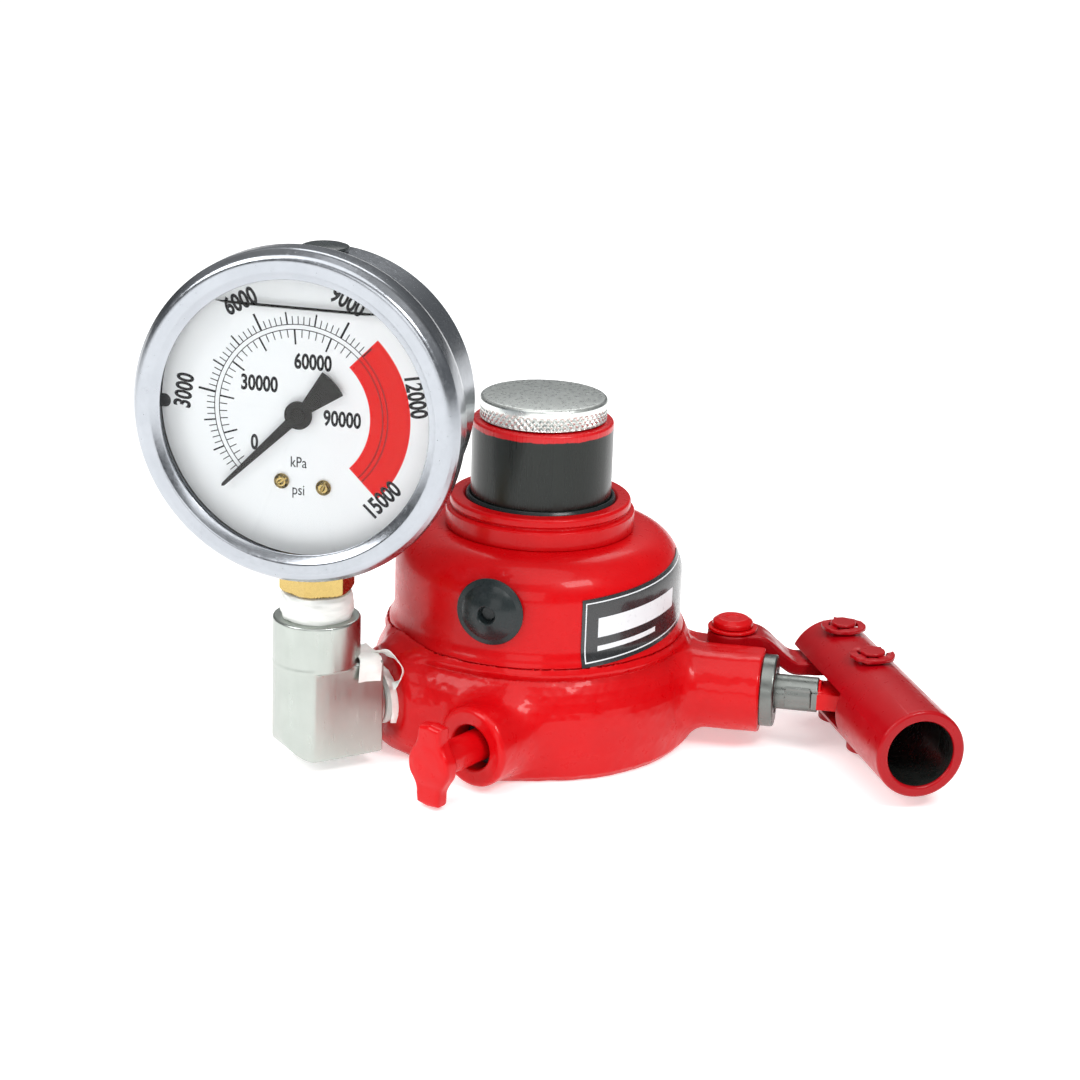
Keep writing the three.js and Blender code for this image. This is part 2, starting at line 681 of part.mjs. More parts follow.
const stemAngle = THREE.MathUtils.degToRad(elbowAngle);
const gaugeGroup = new THREE.Group();
gaugeGroup.position.set(stemDistance * Math.cos(stemAngle), stemDistance * Math.sin(stemAngle), gaugeHeight);
gaugeGroup.rotation.set(Math.PI / 2, 0, THREE.MathUtils.degToRad(gaugeFacing + 90), 'ZYX');
jack.add(gaugeGroup);

// Heights on the stem, measured from the middle of the dial
const stemFoot = 42 - gaugeHeight;
const hexFoot = 64.5 - gaugeHeight;
const hexTop = 79.5 - gaugeHeight;
const blockTop = -16;

// Turns a solid made along Z so that it stands along the gauge's Y.
function upright(shape) {
  return shape.rotate([-90, 0, 0]);
}

function gaugeStem() {
  const thread = turned([[0, stemFoot], [9.4, stemFoot], [10.4, stemFoot + 1.5], [10.4, hexFoot + 1], [0, hexFoot + 1]], 28);
  const hexagon = plate(polygon(11.6, 6), hexFoot, hexTop + 6);
  const bore = rod(1.6, stemFoot - 1, -30, 12);
  const block = box(-11, 11, hexTop + 4.5, blockTop, -8, dialLevel - fit);
  const screwHoles = dialScrewPlaces.map(([x, y]) => rod(1.5, dialLevel - 7, dialLevel + 9, 12).translate([x, y, 0]));
  const post = upright(thread.add(hexagon)).add(block).subtract(upright(bore));
  return post.subtract(wasm.Manifold.union(screwHoles));
}

const dialScrewPlaces = [[-6.3, -23.4], [8.2, -24.3]];

function gaugeCase() {
  const wall = 1.2;
  const front = 20.5;
  const shell = turned([
    [0, -caseBack], [caseRadius - 4, -caseBack], ...arc(caseRadius - 4, -caseBack + 4, 4, -60, 0, 3),
    [caseRadius, front], [caseRadius - wall, front], [caseRadius - wall, -caseBack + 3.5],
    [caseRadius - 4, -caseBack + wall], [0, -caseBack + wall],
  ]);
  const stemHole = upright(rod(12, -60, -40));
  const fillHole = upright(rod(5.4, 40, 60)).translate([0, 0, -6]);
  return shell.subtract(stemHole).subtract(fillHole);
}

function bezel() {
  return turned([
    [caseRadius + fit, 13], [bezelRadius - 1.6, 13], [bezelRadius - 0.6, 14.2], [bezelRadius, 16], [bezelRadius, 23.5],
    ...arc(bezelRadius - 4.5, 23.5, 4.5, 20, 90, 3), [bezelOpening + 2.3, gaugeFront], [bezelOpening, 26.4],
    [bezelOpening, 25.4], [caseRadius + fit, 25.4],
  ]);
}

function dial() {
  const notch = rod(2.2, 0, 30, 16).translate([-dialRadius, 0, 0]);
  const holes = dialScrewPlaces.map(([x, y]) => rod(1.5, 0, 30, 12).translate([x, y, 0]));
  const face = ring(2.4, dialRadius, dialLevel, dialLevel + 1);
  return face.subtract(wasm.Manifold.union([notch, ...holes]));
}

function dialScrew() {
  return turned([[0, -5.5], [1.2, -5.5], [1.2, 1.2], [2.5, 1.2], [2.3, 2.4], [0, 2.8]], 12);
}

// The pointer rests on zero, down to the left, with a fan-shaped tail as counterweight.
function pointer() {
  const tail = [...arc(0, 0, 17, 163, 197, 6)];
  const outline = [
    [pointerLength, 0.25], [4, 1.3], ...arc(0, 0, 4.7, 16, 150, 8), ...tail,
    ...arc(0, 0, 4.7, 210, 344, 8), [4, -1.3], [pointerLength, -0.25],
  ];
  return plate(outline, 3, 3.8).add(rod(2, 2.2, 5.2, 20));
}

// The Bourdon tube, a flattened arc that straightens slightly under pressure.
function bourdonTube() {
  const outline = [...arc(0, 0, 35.6, -70, 200, 27), ...arc(0, 0, 32.4, 200, -70, 27)];
  return plate(outline, -2, 7);
}

function movementPlate(bottom, top) {
  const outline = [[-19, -15.6], [14, -15.6], [14, 8], [6, 17], [-19, 17]];
  const arborHole = rod(1.6, -9, 20, 12);
  const pivotHole = rod(1.5, -9, 20, 12).translate([...sectorPivot, 0]);
  const pillarHoles = pillarPlaces.map(([x, y]) => rod(1.2, -9, 20, 8).translate([x, y, 0]));
  const holes = wasm.Manifold.union([arborHole, pivotHole, ...pillarHoles]);
  return plate(outline, bottom, top).subtract(holes);
}

const sectorPivot = [
  sectorReach * Math.cos(THREE.MathUtils.degToRad(sectorSide)),
  sectorReach * Math.sin(THREE.MathUtils.degToRad(sectorSide)),
];
const pillarPlaces = [[10.5, -12], [-16, -12]];

// A toothed rim: the radius swings between root and tip once for each tooth.
function toothed(root, tip, from, to, teeth) {
  const points = [];
  const step = (to - from) / teeth;
  for (let i = 0; i < teeth; i += 1) {
    const start = from + i * step;
    points.push(...arc(0, 0, root, start, start + step * 0.3, 1));
    points.push(...arc(0, 0, tip, start + step * 0.45, start + step * 0.85, 1));
  }
  return points;
}

function sectorGear() {
  const towards = sectorSide + 180;
  const outline = [[0, 0], ...toothed(10.2, 11, towards - 57, towards + 8, 11)];
  const fan = plate(outline, 1, 2.4);
  const tail = stadium(1.6, tailLength, 1, 2.4).rotate([0, 0, tailAngle]);
  const shaft = rod(1.2, -3.4, 8.6, 16);
  return fan.add(tail).add(rod(2.6, 1, 2.4, 20)).add(shaft);
}

function pinionArbor() {
  return plate(toothed(1.2, 1.9, 0, 360, 8), 0.6, 2.8).add(rod(1.2, -3.4, dialLevel + 2, 16));
}

function hairspring() {
  const turns = 2.5;
  const outer = [];
  const inner = [];
  for (let i = 0; i <= turns * 14; i += 1) {
    const part = i / (turns * 14);
    const angle = THREE.MathUtils.degToRad(part * turns * 360);
    const radius = 1.9 + 4 * part;
    outer.push([(radius + 0.15) * Math.cos(angle), (radius + 0.15) * Math.sin(angle)]);
    inner.unshift([(radius - 0.15) * Math.cos(angle), (radius - 0.15) * Math.sin(angle)]);
  }
  return plate([...outer, ...inner], 4.2, 5.4);
}

// The thin bar that pulls the sector's tail towards the tube's tip.
function tipLink() {
  const tail = THREE.MathUtils.degToRad(tailAngle);
  const end = [sectorPivot[0] + tailLength * Math.cos(tail), sectorPivot[1] + tailLength * Math.sin(tail)];
  const bar = stadium(1.1, tipLinkLength, 2.7, 3.5);
  return bar.rotate([0, 0, tipLinkAngle]).translate([...end, 0]);
}

// Tape wound on the stem's thread; part of it stands out of the elbow's mouth.
function stemTape() {
  const mouth = elbowTop - gaugeHeight;
  return upright(turned([
    [10.5, stemFoot + 6], [10.75, stemFoot + 6], [10.75, mouth + 0.3], [11.3, mouth + 0.8],
    [11.7, mouth + 3], [11.2, hexFoot - 0.4], [10.5, hexFoot - 0.4],
  ], 28));
}

function fillPlug() {
  const foot = caseRadius + 0.1;
  const plugProfile = [
    [0, 46], [5, 46], [5, foot + fit], [8, foot + fit], [8, foot + 1], [7, foot + 1.6], [0, foot + 1.7],
  ];
  return upright(turned(plugProfile, 18)).translate([0, 0, -6]);
}

add(gaugeGroup, 'gauge_stem', gaugeStem(), brass);
add(gaugeGroup, 'stem_tape', stemTape(), whiteTape);
add(gaugeGroup, 'bourdon_tube', bourdonTube(), bronze);
add(gaugeGroup, 'movement_back_plate', movementPlate(-1.9, -0.7), brass);
add(gaugeGroup, 'movement_front_plate', movementPlate(6.6, 7.8), brass);
pillarPlaces.forEach(([x, y], i) => {
  const pillar = rod(2.2, -0.5, 6.4, 12).add(rod(1, -1.8, 7.7, 8));
  add(gaugeGroup, `movement_pillar_${i + 1}`, pillar, brass).position.set(x, y, 0);
});
add(gaugeGroup, 'sector_gear', sectorGear(), brass).position.set(...sectorPivot, 0);
add(gaugeGroup, 'pinion_arbor', pinionArbor(), steel);
add(gaugeGroup, 'hairspring', hairspring(), bronze);
add(gaugeGroup, 'tip_link', tipLink(), steel);
add(gaugeGroup, 'dial', dial(), whitePaint);
dialScrewPlaces.forEach(([x, y], i) => {
  add(gaugeGroup, `dial_screw_${i + 1}`, dialScrew(), brass).position.set(x, y, dialLevel);
});
const pointerMesh = add(gaugeGroup, 'pointer', pointer(), blackPaint);
pointerMesh.position.z = dialLevel;
pointerMesh.rotation.z = THREE.MathUtils.degToRad(225);
add(gaugeGroup, 'gauge_case', gaugeCase(), polished);
add(gaugeGroup, 'window_gasket', ring(bezelOpening + 0.4, 49.8, 20.7, 22.4), blackRubber);
add(gaugeGroup, 'window', rod(49.8, 22.6, 25.2, roundLarge), clearGlass);
add(gaugeGroup, 'bezel', bezel(), polished);
add(gaugeGroup, 'gauge_fill_plug', fillPlug(), blackRubber);

export default jack;
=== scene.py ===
"""Looks for a short hydraulic bottle jack with a side pump, a handle socket and a pressure gauge.
Lengths are in millimetres until a mesh is made, and each mesh is made in metres in the row frame."""
import json
import math

import bpy
import numpy as np
from mathutils import Matrix, Vector

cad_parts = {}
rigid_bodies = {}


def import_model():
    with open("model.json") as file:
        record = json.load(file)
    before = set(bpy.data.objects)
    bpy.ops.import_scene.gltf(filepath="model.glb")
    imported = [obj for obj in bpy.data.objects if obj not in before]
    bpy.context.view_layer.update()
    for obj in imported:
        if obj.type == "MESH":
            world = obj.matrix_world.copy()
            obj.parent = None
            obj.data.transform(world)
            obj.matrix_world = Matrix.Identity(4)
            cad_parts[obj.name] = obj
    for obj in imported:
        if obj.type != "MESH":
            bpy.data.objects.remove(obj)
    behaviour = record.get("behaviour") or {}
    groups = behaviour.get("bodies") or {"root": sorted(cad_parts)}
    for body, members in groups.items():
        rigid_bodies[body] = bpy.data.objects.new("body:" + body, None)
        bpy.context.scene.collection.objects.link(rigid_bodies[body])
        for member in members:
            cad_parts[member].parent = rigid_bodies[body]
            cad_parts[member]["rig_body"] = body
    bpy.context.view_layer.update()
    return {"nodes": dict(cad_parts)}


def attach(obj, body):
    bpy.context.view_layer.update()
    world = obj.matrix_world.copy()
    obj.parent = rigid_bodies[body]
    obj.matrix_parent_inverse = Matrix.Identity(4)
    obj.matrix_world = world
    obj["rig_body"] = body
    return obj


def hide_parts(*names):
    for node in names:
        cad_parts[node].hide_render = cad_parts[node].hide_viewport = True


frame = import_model()
nodes = frame["nodes"]
MM = 0.001


# ---------------------------------------------------------------------------------------------
# Places: 4x4 matrices from a piece's own frame to the row frame, in millimetres
# ---------------------------------------------------------------------------------------------

def turn(axis, degrees):
    return np.array(Matrix.Rotation(math.radians(degrees), 4, axis))


def move(x, y, z):
    return np.array(Matrix.Translation((x, y, z)))


def plan(angle, height=0.0):
    """X points outwards along a compass angle, Z up."""
    return move(0, 0, height) @ turn("Z", angle)


def lying(angle, height):
    """Z points outwards along a compass angle, X down."""
    return plan(angle, height) @ turn("Y", 90)


PUMP_ANGLE = -24
ELBOW_ANGLE = 197.4
VALVE_ANGLE = 218
FILLER_ANGLE = -121.5
LABEL_ANGLE = -86.3
GAUGE_FACING = -117.5

PUMP_HEIGHT = 21
PORT_HEIGHT = 21.5
VALVE_HEIGHT = 15.7
VALVE_OFFSET = 23.9
FILLER_HEIGHT = 59.5
STEM_DISTANCE = 88
GAUGE_HEIGHT = 130.5
PUMP_FACE = 83
PLUNGER_PIN = 121
PIN_SPACING = 30.1
BOLT = (69.4, 17.2)
LINK_LEVEL = 31.8
BASE_HEIGHT = 40
FLOOR_HEIGHT = 18
HOUSING_RADIUS = 51.2
HOUSING_TOP = 76
RAM_TOP = 115

PUMP = lying(PUMP_ANGLE, PUMP_HEIGHT)
PORT = lying(ELBOW_ANGLE, PORT_HEIGHT)
VALVE = lying(VALVE_ANGLE, VALVE_HEIGHT) @ move(0, VALVE_OFFSET, 0)
FILLER = lying(FILLER_ANGLE, FILLER_HEIGHT)
STEM = plan(ELBOW_ANGLE) @ move(STEM_DISTANCE, 0, 0)
GAUGE = (
    move(STEM[0, 3], STEM[1, 3], GAUGE_HEIGHT)
    @ turn("Z", GAUGE_FACING + 90)
    @ turn("X", 90)
)
UPRIGHT = GAUGE @ turn("X", -90)
pin_spot = plan(PUMP_ANGLE, PUMP_HEIGHT) @ np.array([PLUNGER_PIN, 0, 0, 1])
SOCKET = move(*pin_spot[:3])
LINK = plan(PUMP_ANGLE) @ move(BOLT[0], BOLT[1], 0)
link_end = np.linalg.inv(LINK) @ (pin_spot + np.array([0, PIN_SPACING, 0, 0]))
LINK_LENGTH = math.hypot(link_end[0], link_end[1])
LINK = LINK @ turn("Z", math.degrees(math.atan2(link_end[1], link_end[0])))
HOME = np.eye(4)


# ---------------------------------------------------------------------------------------------
# Meshes
# ---------------------------------------------------------------------------------------------

def placed(points, place):
    return np.asarray(points, float) @ place[:3, :3].T + place[:3, 3]


def added(name, data):
    obj = bpy.data.objects.new(name, data)
    bpy.context.scene.collection.objects.link(obj)
    return obj


def evaluated(obj):
    """A new mesh of the object as it looks now, with its modifiers applied."""
    bpy.context.view_layer.update()
    return bpy.data.meshes.new_from_object(obj.evaluated_get(bpy.context.evaluated_depsgraph_get()))


def make(name, points, faces, place=HOME, normals=None, sharp=None):
    """A mesh object in the row frame. Normals are one for each point; sharp is an edge angle."""
    mesh = bpy.data.meshes.new(name)
    mesh.from_pydata((placed(points, place) * MM).tolist(), [], [tuple(f) for f in faces])
    mesh.polygons.foreach_set("use_smooth", np.ones(len(mesh.polygons), bool))
    if normals is not None:
        turned = np.asarray(normals, float) @ place[:3, :3].T
        mesh.normals_split_custom_set_from_vertices(turned.tolist())
    if sharp is not None:
        mesh.set_sharp_from_angle(angle=math.radians(sharp))
    mesh.update()
    return added(name, mesh)


def wear(obj, look, *stands_for, body=None, slot=None):
    """Dresses a piece: its material, the body it rides on, and the CAD nodes it stands for."""
    obj.data.materials.clear()
    obj.data.materials.append(look)
    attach(obj, body or nodes[stands_for[0]]["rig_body"])
    if stands_for:
        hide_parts(*stands_for)
    return obj


def unit(v):
    return v / max(np.linalg.norm(v), 1e-9)


def rounded(outline, radius=0.3, closed=True):
    """Rounds an anticlockwise outline's corners. A point's third number is its own radius.
    Returns points and outward normals. Corners under 24 degrees stay, as parts of a curve."""
    points = [np.array(p[:2], float) for p in outline]
    radii = [p[2] if len(p) > 2 else radius for p in outline]
    count = len(points)
    spots, normals = [], []
    for i, corner in enumerate(points):
        first, last = not closed and i == 0, not closed and i == count - 1
        before, after = points[i - 1], points[(i + 1) % count]
        come = unit(after - corner) if first else unit(corner - before)
        go = come if last else unit(after - corner)
        swing = math.atan2(come[0] * go[1] - come[1] * go[0], come @ go)
        if first or last or abs(swing) < math.radians(24):
            mean = unit(come + go)
            spots.append(corner)
            normals.append(np.array([mean[1], -mean[0]]))
            continue
        half = math.tan(abs(swing) / 2)
        room = 0.45 * min(np.linalg.norm(corner - before), np.linalg.norm(after - corner))
        reach = min(radii[i] * half, room)
        size = reach / half * (1 if swing > 0 else -1)
        start = np.array([come[1], -come[0]])
        centre = corner - come * reach - start * size
        steps = max(2, math.ceil(abs(swing) / math.radians(18)))
        for k in range(steps + 1):
            a = swing * k / steps
            way = np.array([
                start[0] * math.cos(a) - start[1] * math.sin(a),
                start[0] * math.sin(a) + start[1] * math.cos(a),
            ])
            spots.append(centre + way * size)
            normals.append(way)
    return np.array(spots), np.array(normals)


def arc(x, y, radius, start, end, steps):
    angles = np.radians(np.linspace(start, end, steps + 1))
    return [(x + radius * math.cos(a), y + radius * math.sin(a)) for a in angles]


def grid_faces(rows, columns, close_rows, close_columns):
    """Quads between neighbouring rows and columns of a numbered grid."""
    i = np.arange(rows if close_rows else rows - 1)
    j = np.arange(columns if close_columns else columns - 1)
    i, j = np.meshgrid(i, j, indexing="ij")
    i, j = i.ravel(), j.ravel()
    up, right = (i + 1) % rows, (j + 1) % columns
    return np.stack([
        i * columns + j, i * columns + right, up * columns + right, up * columns + j,
    ], 1)


def sheet_faces(rows, columns):
    """Faces of a thin sheet: a grid of points for its back, then one for its front, and the rim."""
    half = rows * columns
    faces = []
    for face in grid_faces(rows, columns, False, False).tolist():
        faces.append([half + k for k in face])
        faces.append(face[::-1])
    rim = [*range(columns), *[columns * (r + 1) - 1 for r in range(1, rows - 1)],
           *range(half - 1, half - 1 - columns, -1), *[columns * r for r in range(rows - 2, 0, -1)]]
    for k, a in enumerate(rim):
        b = rim[(k + 1) % len(rim)]
        faces.append([a, b, half + b, half + a])
    return faces


def joined(points, faces, normals):
    """Welds points that coincide, such as a turned piece's poles, and drops collapsed faces."""
    keys = np.round(points, 5)
    _, first, back = np.unique(keys, axis=0, return_index=True, return_inverse=True)
    back = back.ravel()
    kept = []
    for face in back[np.asarray(faces)].tolist():
        face = list(dict.fromkeys(face))
        if len(face) > 2:
            kept.append(face)
    return points[first], kept, normals[first]


def lathe(name, outline, place=HOME, segments=128, radius=0.3, shift=None):
    """Turns an outline of (radius, height) points about Z. An outline that starts on the axis
    is open there; any other closes on itself. shift(angle, height, radius) moves the surface."""
    closed = outline[0][0] > 1e-6
    spots, ways = rounded(outline, radius, closed)
    angles = np.linspace(0, 2 * math.pi, segments, endpoint=False)
    cos, sin = np.cos(angles), np.sin(angles)
    size = np.repeat(spots[:, :1], segments, 1)
    level = np.repeat(spots[:, 1:], segments, 1)
    if shift is not None:
        size = size + shift(np.repeat(angles[None], len(spots), 0), level, size)
    points = np.stack([size * cos, size * sin, level], 2).reshape(-1, 3)
    normals = np.stack([
        ways[:, :1] * cos, ways[:, :1] * sin, np.repeat(ways[:, 1:], segments, 1),
    ], 2).reshape(-1, 3)
    faces = grid_faces(len(spots), segments, closed, True)[:, ::-1]
    points, faces, normals = joined(points, faces, normals)
    if shift is not None:
        return make(name, points, flipped_if_inside_out(points, faces), place, None, 40)
    return make(name, points, flipped_if_inside_out(points, faces), place, normals)


def flipped_if_inside_out(points, faces):
    """Faces turned so that the closed mesh has a positive volume."""
    volume = 0.0
    for face in faces:
        a = points[face[0]]
        for k in range(1, len(face) - 1):
            volume += a @ np.cross(points[face[k]], points[face[k + 1]])
    return faces if volume > 0 else [list(reversed(f)) for f in faces]


def prism(name, outline, bottom, top, place=HOME, radius=0.5, bevel=0.4):
    """Raises an anticlockwise outline from bottom to top, with its edges rounded over."""
    spots, ways = rounded(outline, radius)
    count = len(spots)
    rings = []
    for k in range(4):
        a = math.pi / 2 * k / 3
        rings.append((bevel * (1 - math.sin(a)), bottom + bevel * (1 - math.cos(a)), a, -1))
    for k in range(4):
        a = math.pi / 2 * (1 - k / 3)
        rings.append((bevel * (1 - math.sin(a)), top - bevel * (1 - math.cos(a)), a, 1))
    points, normals = [], []
    for inset, level, a, side in rings:
        ring = np.column_stack([spots - ways * inset, np.full(count, level)])
        points.append(ring)
        up = side * math.cos(a)
        normals.append(np.column_stack([ways * math.sin(a), np.full(count, up)]))
    points, normals = np.concatenate(points), np.concatenate(normals)
    faces = grid_faces(len(rings), count, False, True).tolist()
    last = (len(rings) - 1) * count
    faces.append(list(reversed(range(count))))
    faces.append([last + k for k in range(count)])
    return make(name, points, flipped_if_inside_out(points, faces), place, normals)


def cut(obj, *cutters):
    """Takes other objects away from obj, and removes them."""
    for other in cutters:
        change = obj.modifiers.new("cut", "BOOLEAN")
        change.operation = "DIFFERENCE"
        change.object = other
        change.solver = "EXACT"
    mesh = evaluated(obj)
    obj.modifiers.clear()
    obj.data = mesh
    for other in cutters:
        bpy.data.objects.remove(other)
    mesh.polygons.foreach_set("use_smooth", np.ones(len(mesh.polygons), bool))
    mesh.set_sharp_from_angle(angle=math.radians(30))


def rod(name, radius, bottom, top, place):
    return lathe(name, [(0, bottom), (radius, bottom), (radius, top), (0, top)], place, 64, 0.01)


# ---------------------------------------------------------------------------------------------
# Cast and forged shapes: a distance field, meshed by surface nets
# ---------------------------------------------------------------------------------------------

def local(points, place):
    return (points - place[:3, 3]) @ place[:3, :3]


def repaint(obj, look, place, chosen):
    """Gives a second material to the faces whose centres, seen from place, are chosen."""
    obj.data.materials.append(look)
    inner = np.linalg.inv(place)
    for face in obj.data.polygons:
        if chosen(*(inner[:3, :3] @ np.array(face.center) / MM + inner[:3, 3])):
            face.material_index = 1


def smooth_join(a, b, k):
    h = np.clip(0.5 + 0.5 * (b - a) / k, 0, 1)
    return b * (1 - h) + a * h - k * h * (1 - h)


def smooth_cut(a, b, k):
    """Takes b away from a, with the edge rounded by k. Taking -b away keeps what lies in b."""
    return -smooth_join(-a, b, k)


def rod_field(p, radius, bottom, top, edge=0.5):
    side = np.hypot(p[:, 0], p[:, 1]) - radius + edge
    end = np.abs(p[:, 2] - (bottom + top) / 2) - (top - bottom) / 2 + edge
    return np.minimum(np.maximum(side, end), 0) + np.hypot(np.maximum(side, 0), np.maximum(end, 0)) - edge


def box_field(p, low, high, edge=0.5):
    low, high = np.array(low, float), np.array(high, float)
    gap = np.abs(p - (low + high) / 2) - (high - low) / 2 + edge
    return np.minimum(gap.max(1), 0) + np.linalg.norm(np.maximum(gap, 0), axis=1) - edge


def turned_field(p, outline, edge=0.5):
    """Distance to a closed outline of (radius, height) points turned about Z."""
    x, y = np.hypot(p[:, 0], p[:, 1]), p[:, 2]
    best = np.full(len(p), 1e9)
    inside = np.zeros(len(p), bool)
    count = len(outline)
    for i in range(count):
        (ax, ay), (bx, by) = outline[i - 1], outline[i]
        ex, ey = bx - ax, by - ay
        wx, wy = x - ax, y - ay
        t = np.clip((wx * ex + wy * ey) / (ex * ex + ey * ey), 0, 1)
        best = np.minimum(best, (wx - ex * t) ** 2 + (wy - ey * t) ** 2)
        crosses = (ay > y) != (by > y)
        if ey != 0:
            inside ^= crosses & (x < ax + ex * (y - ay) / ey)
    return np.where(inside, -1, 1) * np.sqrt(best) - edge


def wobble(p, wave, seed):
    """Smooth noise between about -1 and 1, with bumps about wave across."""
    count = 20
    random = np.random.default_rng(seed)
    total = np.zeros(len(p))
    for _ in range(count):
        way = unit(random.normal(size=3)) * 2 * math.pi / (wave * random.uniform(0.8, 2.2))
        total += np.sin(p @ way + random.uniform(0, 6.28))
    return total / math.sqrt(count)


def sculpted(name, field, low, high, voxel, place=HOME):
    """The surface where field is zero, as a quad mesh with exact normals."""
    block = 8
    low = np.array(low, float)
    blocks = np.ceil((np.array(high, float) - low) / (voxel * block)).astype(int) + 1
    size = blocks * block
    grid = np.stack(np.meshgrid(*[np.arange(n) for n in blocks], indexing="ij"), -1).reshape(-1, 3)
    centres = low + (grid * block + (block - 1) / 2) * voxel
    coarse = field(centres)
    values = np.repeat(np.repeat(np.repeat(
        coarse.reshape(blocks), block, 0), block, 1), block, 2).astype(np.float32)
    near = grid[np.abs(coarse) < voxel * (block * 0.9 + 2)]
    step = np.stack(np.meshgrid(*[np.arange(block)] * 3, indexing="ij"), -1).reshape(-1, 3)
    cells = (near[:, None] * block + step[None]).reshape(-1, 3)
    for part in np.array_split(cells, max(1, len(cells) // 400000)):
        values[part[:, 0], part[:, 1], part[:, 2]] = field(low + part * voxel)
    solid = values < 0
    corners = np.zeros(size - 1, np.int8)
    for a in (0, 1):
        for b in (0, 1):
            for c in (0, 1):
                corners += solid[a:size[0] - 1 + a, b:size[1] - 1 + b, c:size[2] - 1 + c]
    crossed = (corners > 0) & (corners < 8)
    where = np.argwhere(crossed)
    number = np.full(crossed.shape, -1, np.int64)
    number[crossed] = np.arange(len(where))
    total, hits = np.zeros((len(where), 3)), np.zeros(len(where))
    for axis in range(3):
        for a in (0, 1):
            for b in (0, 1):
                start = np.zeros(3, int)
                start[[k for k in range(3) if k != axis]] = a, b
                end = start.copy()
                end[axis] = 1
                u = values[tuple((where + start).T)].astype(float)
                v = values[tuple((where + end).T)].astype(float)
                hit = (u < 0) != (v < 0)
                t = np.where(hit, u / np.where(hit, u - v, 1), 0)
                total += np.where(hit[:, None], start + t[:, None] * (end - start), 0)
                hits += hit
    points = low + (where + total / hits[:, None]) * voxel
    faces = []
    for axis in range(3):
        one = np.zeros(3, int)
        one[axis] = 1
        others = [k for k in range(3) if k != axis]
        inner = [slice(1, n - 1) for n in size]
        inner[axis] = slice(0, size[axis] - 1)
        shifted = list(inner)
        shifted[axis] = slice(1, size[axis])
        here, there = solid[tuple(inner)], solid[tuple(shifted)]
        for edges, flip in ((here & ~there, False), (~here & there, True)):
            at = np.argwhere(edges) + np.array([s.start for s in inner])
            quad = []
            for da, db in ((0, 0), (-1, 0), (-1, -1), (0, -1)):
                cell = at.copy()
                cell[:, others[0]] += da
                cell[:, others[1]] += db
                quad.append(number[tuple(cell.T)])
            quad = np.stack(quad, 1)
            if flip != (axis == 1):
                quad = quad[:, ::-1]
            faces.append(quad)
    faces = np.concatenate(faces)
    small = voxel * 0.1

    def slope(p):
        away = [field(p + small * e) - field(p - small * e) for e in np.eye(3)]
        return np.stack(away, 1) / (2 * small)

    for _ in range(2):
        steep = slope(points)
        pull = field(points) / np.maximum((steep ** 2).sum(1), 0.2)
        points -= np.clip(pull, -voxel, voxel)[:, None] * steep
    normals = slope(points)
    normals /= np.maximum(np.linalg.norm(normals, axis=1), 1e-9)[:, None]
    return make(name, points, faces, place, normals)


# ---------------------------------------------------------------------------------------------
# Materials. Texture scales are per metre, on the piece's own coordinates
# ---------------------------------------------------------------------------------------------

class Finish:
    """Builds one material's nodes."""

    def __init__(self, name):
        self.material = bpy.data.materials.new(name + "_finish")
        self.material.use_nodes = True
        self.tree = self.material.node_tree
        self.shader = self.tree.nodes["Principled BSDF"]
        self.coords = self.node("ShaderNodeTexCoord").outputs["Object"]

    def node(self, kind, **settings):
        made = self.tree.nodes.new(kind)
        for key, value in settings.items():
            setattr(made, key, value)
        return made

    def join(self, out, into):
        self.tree.links.new(out, into)

    def set(self, **values):
        for key, value in values.items():
            self.shader.inputs[key.replace("_", " ")].default_value = value
        return self

    def stretched(self, x=1, y=1, z=1):
        mapping = self.node("ShaderNodeMapping")
        mapping.inputs["Scale"].default_value = (x, y, z)
        self.join(self.coords, mapping.inputs["Vector"])
        return mapping.outputs[0]

    def noise(self, scale, detail=3, rough=0.55, where=None):
        made = self.node("ShaderNodeTexNoise")
        made.inputs["Scale"].default_value = scale
        made.inputs["Detail"].default_value = detail
        made.inputs["Roughness"].default_value = rough
        self.join(where or self.coords, made.inputs["Vector"])
        return made.outputs["Fac"]

    def spread(self, value, low, high, start=0.3, end=0.7):
        made = self.node("ShaderNodeMapRange")
        for key, number in (("From Min", start), ("From Max", end), ("To Min", low), ("To Max", high)):
            made.inputs[key].default_value = number
        self.join(value, made.inputs["Value"])
        return made.outputs[0]

    def mixed(self, factor, one, other):
        made = self.node("ShaderNodeMix", data_type="RGBA")
        for socket, colour in ((made.inputs[6], one), (made.inputs[7], other)):
            if isinstance(colour, tuple):
                socket.default_value = (*colour, 1)
            else:
                self.join(colour, socket)
        self.join(factor, made.inputs[0])
        return made.outputs[2]

    def bump(self, height, distance, strength):
        made = self.node("ShaderNodeBump")
        made.inputs["Strength"].default_value = strength
        made.inputs["Distance"].default_value = distance
        self.join(height, made.inputs["Height"])
        self.join(made.outputs[0], self.shader.inputs["Normal"])
        return self

    def colour(self, factor, one, other):
        self.join(self.mixed(factor, one, other), self.shader.inputs["Base Color"])
        return self

    def rough(self, value, low, high):
        self.join(self.spread(value, low, high), self.shader.inputs["Roughness"])
        return self


def finish(name, tones, dark, light, gloss, low, high, bumps=None, depth=0.0, strength=0.4, **settings):
    """Paint, print, rubber and plastic. tones, gloss and bumps are what noise() takes for each."""
    f = Finish(name).set(**settings)
    f.colour(f.noise(*tones), dark, light)
    f.rough(f.noise(*gloss), low, high)
    if bumps:
        f.bump(f.noise(*bumps), depth, strength)
    return f.material


def cast_paint_finish(name, dark, light):
    """Thick gloss enamel over rough cast iron."""
    return finish(name, (80, 4), dark, light, (300, 3), 0.25, 0.42, (85, 1, 0.5), 0.0008,
                  Coat_Weight=0.18, Coat_Roughness=0.06, Specular_IOR_Level=0.14)


